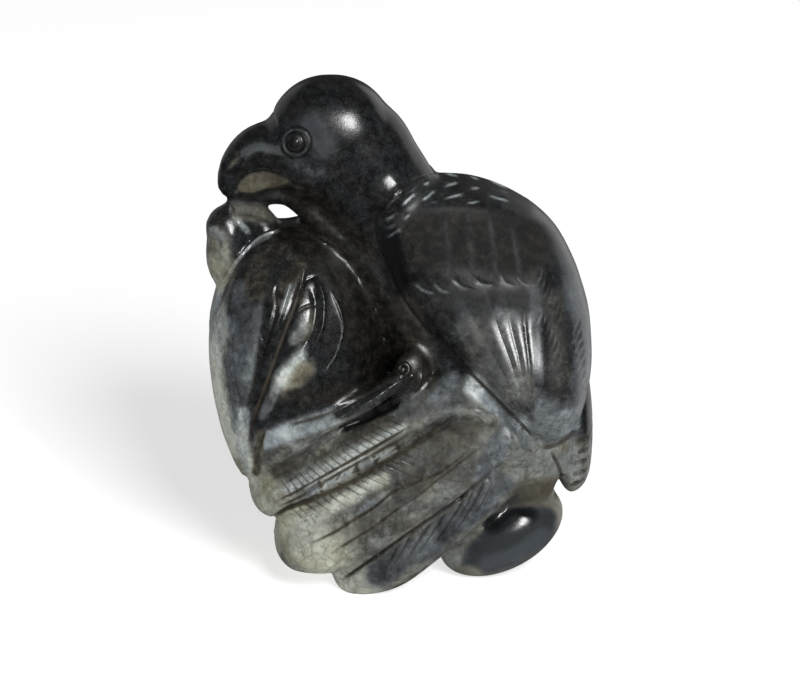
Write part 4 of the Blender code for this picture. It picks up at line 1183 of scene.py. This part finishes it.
class JADE_OT_carving(bpy.types.Operator):
    """Makes the carving's fine skin and its polished jade"""
    bl_idname = "jade.carving"
    bl_label = "Parrot carving"

    def execute(self, context):
        sizes = context.scene.jade_sizes
        colours = context.scene.jade_colours
        stone = jade_material({name: tuple(getattr(colours, name))
                               for name in JadeColours.__annotations__})
        carving = bpy.data.objects.new(PIECE, mesh_of(PIECE, forms()))
        context.scene.collection.objects.link(carving)
        fuse(carving, sizes.block_grain, sizes.block_passes)
        refine(carving, sizes.splits)
        cut_relief(carving, stone, sizes)
        thin_out(carving, sizes.facets)
        if grind_base(carving) < 1:
            raise RuntimeError("the carving's underside was not cut")
        colour_layers(carving)
        centre_on_frame(carving)
        carving.data.shade_smooth()
        print("carving", len(carving.data.vertices), triangles(carving.data))
        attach(carving, "root")
        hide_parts(NODE)
        return {"FINISHED"}


def aimed(obj, place, target):
    obj.location = place
    obj.rotation_euler = (Vector(target) - Vector(place)).to_track_quat("-Z", "Y").to_euler()
    bpy.context.scene.collection.objects.link(obj)


def softbox(name, azimuth, elevation, distance, size, power):
    """A soft light, placed by degrees to the right of the camera's plan direction and up."""
    turn, rise = math.radians(azimuth), math.radians(elevation)
    way = Vector((math.sin(turn) * math.cos(rise), -math.cos(turn) * math.cos(rise),
                  math.sin(rise)))
    light = bpy.data.lights.new(name, "AREA")
    light.shape = "RECTANGLE"
    light.size, light.size_y = size
    light.energy = power
    lamp = bpy.data.objects.new(name, light)
    aimed(lamp, LIT + way * distance, LIT)
    return lamp


class JADE_OT_studio(bpy.types.Operator):
    """Makes the pale floor, the soft lights and the camera"""
    bl_idname = "jade.studio"
    bl_label = "Studio"

    def execute(self, context):
        studio = context.scene.jade_studio
        shape = bmesh.new()
        bmesh.ops.create_circle(shape, cap_ends=True, segments=96, radius=studio.floor)
        mesh = bpy.data.meshes.new("floor")
        shape.to_mesh(mesh)
        shape.free()
        mesh.materials.append(plain_material("matt_white_card", linear("#f4f4f4"), 0.95, 0.74))
        floor = bpy.data.objects.new("floor", mesh)
        context.scene.collection.objects.link(floor)
        floor.visible_glossy = False

        world = bpy.data.worlds.new("studio")
        context.scene.world = world
        world.use_nodes = True
        air = world.node_tree.nodes["Background"]
        air.inputs["Color"].default_value = (1, 1, 1, 1)
        air.inputs["Strength"].default_value = 0.06

        softbox(*KEY_LIGHT)
        on_stone = bpy.data.collections.new("carving_only")
        on_stone.objects.link(bpy.data.objects[PIECE])
        for *light, mirrored in STONE_LIGHTS:
            lamp = softbox(*light)
            lamp.light_linking.receiver_collection = on_stone
            lamp.visible_glossy = mirrored
        bounce = softbox(*BOUNCE_LIGHT)
        bounce.location = BOUNCE_PLACE
        bounce.rotation_euler = (math.pi, 0.0, 0.0)
        bounce.visible_camera = False
        bounce.visible_glossy = False
        bounce.light_linking.receiver_collection = on_stone

        angle = studio.elevation
        lens = bpy.data.cameras.new("camera")
        lens.sensor_width = SENSOR
        lens.lens = SENSOR * studio.distance / studio.width
        lens.clip_start = 0.01
        lens.clip_end = 20.0
        camera = bpy.data.objects.new("camera", lens)
        back = Vector((0, -math.cos(angle), math.sin(angle)))
        aimed(camera, AIM + studio.distance * back, AIM)
        context.scene.camera = camera
        context.scene.view_settings.view_transform = "Standard"
        return {"FINISHED"}


class JADE_PT_panel(bpy.types.Panel):
    """Lists what can be built"""
    bl_label = "Jade parrot"
    bl_idname = "JADE_PT_panel"
    bl_space_type = "VIEW_3D"
    bl_region_type = "UI"
    bl_category = "Jade parrot"

    def draw(self, context):
        scene = context.scene
        for group in (scene.jade_sizes, scene.jade_colours, scene.jade_studio):
            box = self.layout.box()
            for key in type(group).__annotations__:
                box.prop(group, key)
        for operator in (JADE_OT_carving, JADE_OT_studio):
            self.layout.operator(operator.bl_idname)


CLASSES = (JadeSizes, JadeColours, StudioSizes, JADE_OT_carving, JADE_OT_studio, JADE_PT_panel)


def register():
    for made in CLASSES:
        bpy.utils.register_class(made)
    bpy.types.Scene.jade_sizes = PointerProperty(type=JadeSizes)
    bpy.types.Scene.jade_colours = PointerProperty(type=JadeColours)
    bpy.types.Scene.jade_studio = PointerProperty(type=StudioSizes)


def unregister():
    del bpy.types.Scene.jade_studio
    del bpy.types.Scene.jade_colours
    del bpy.types.Scene.jade_sizes
    for made in reversed(CLASSES):
        bpy.utils.unregister_class(made)


def main():
    register()
    bpy.ops.jade.carving()
    bpy.ops.jade.studio()


if __name__ == "__main__":
    main()
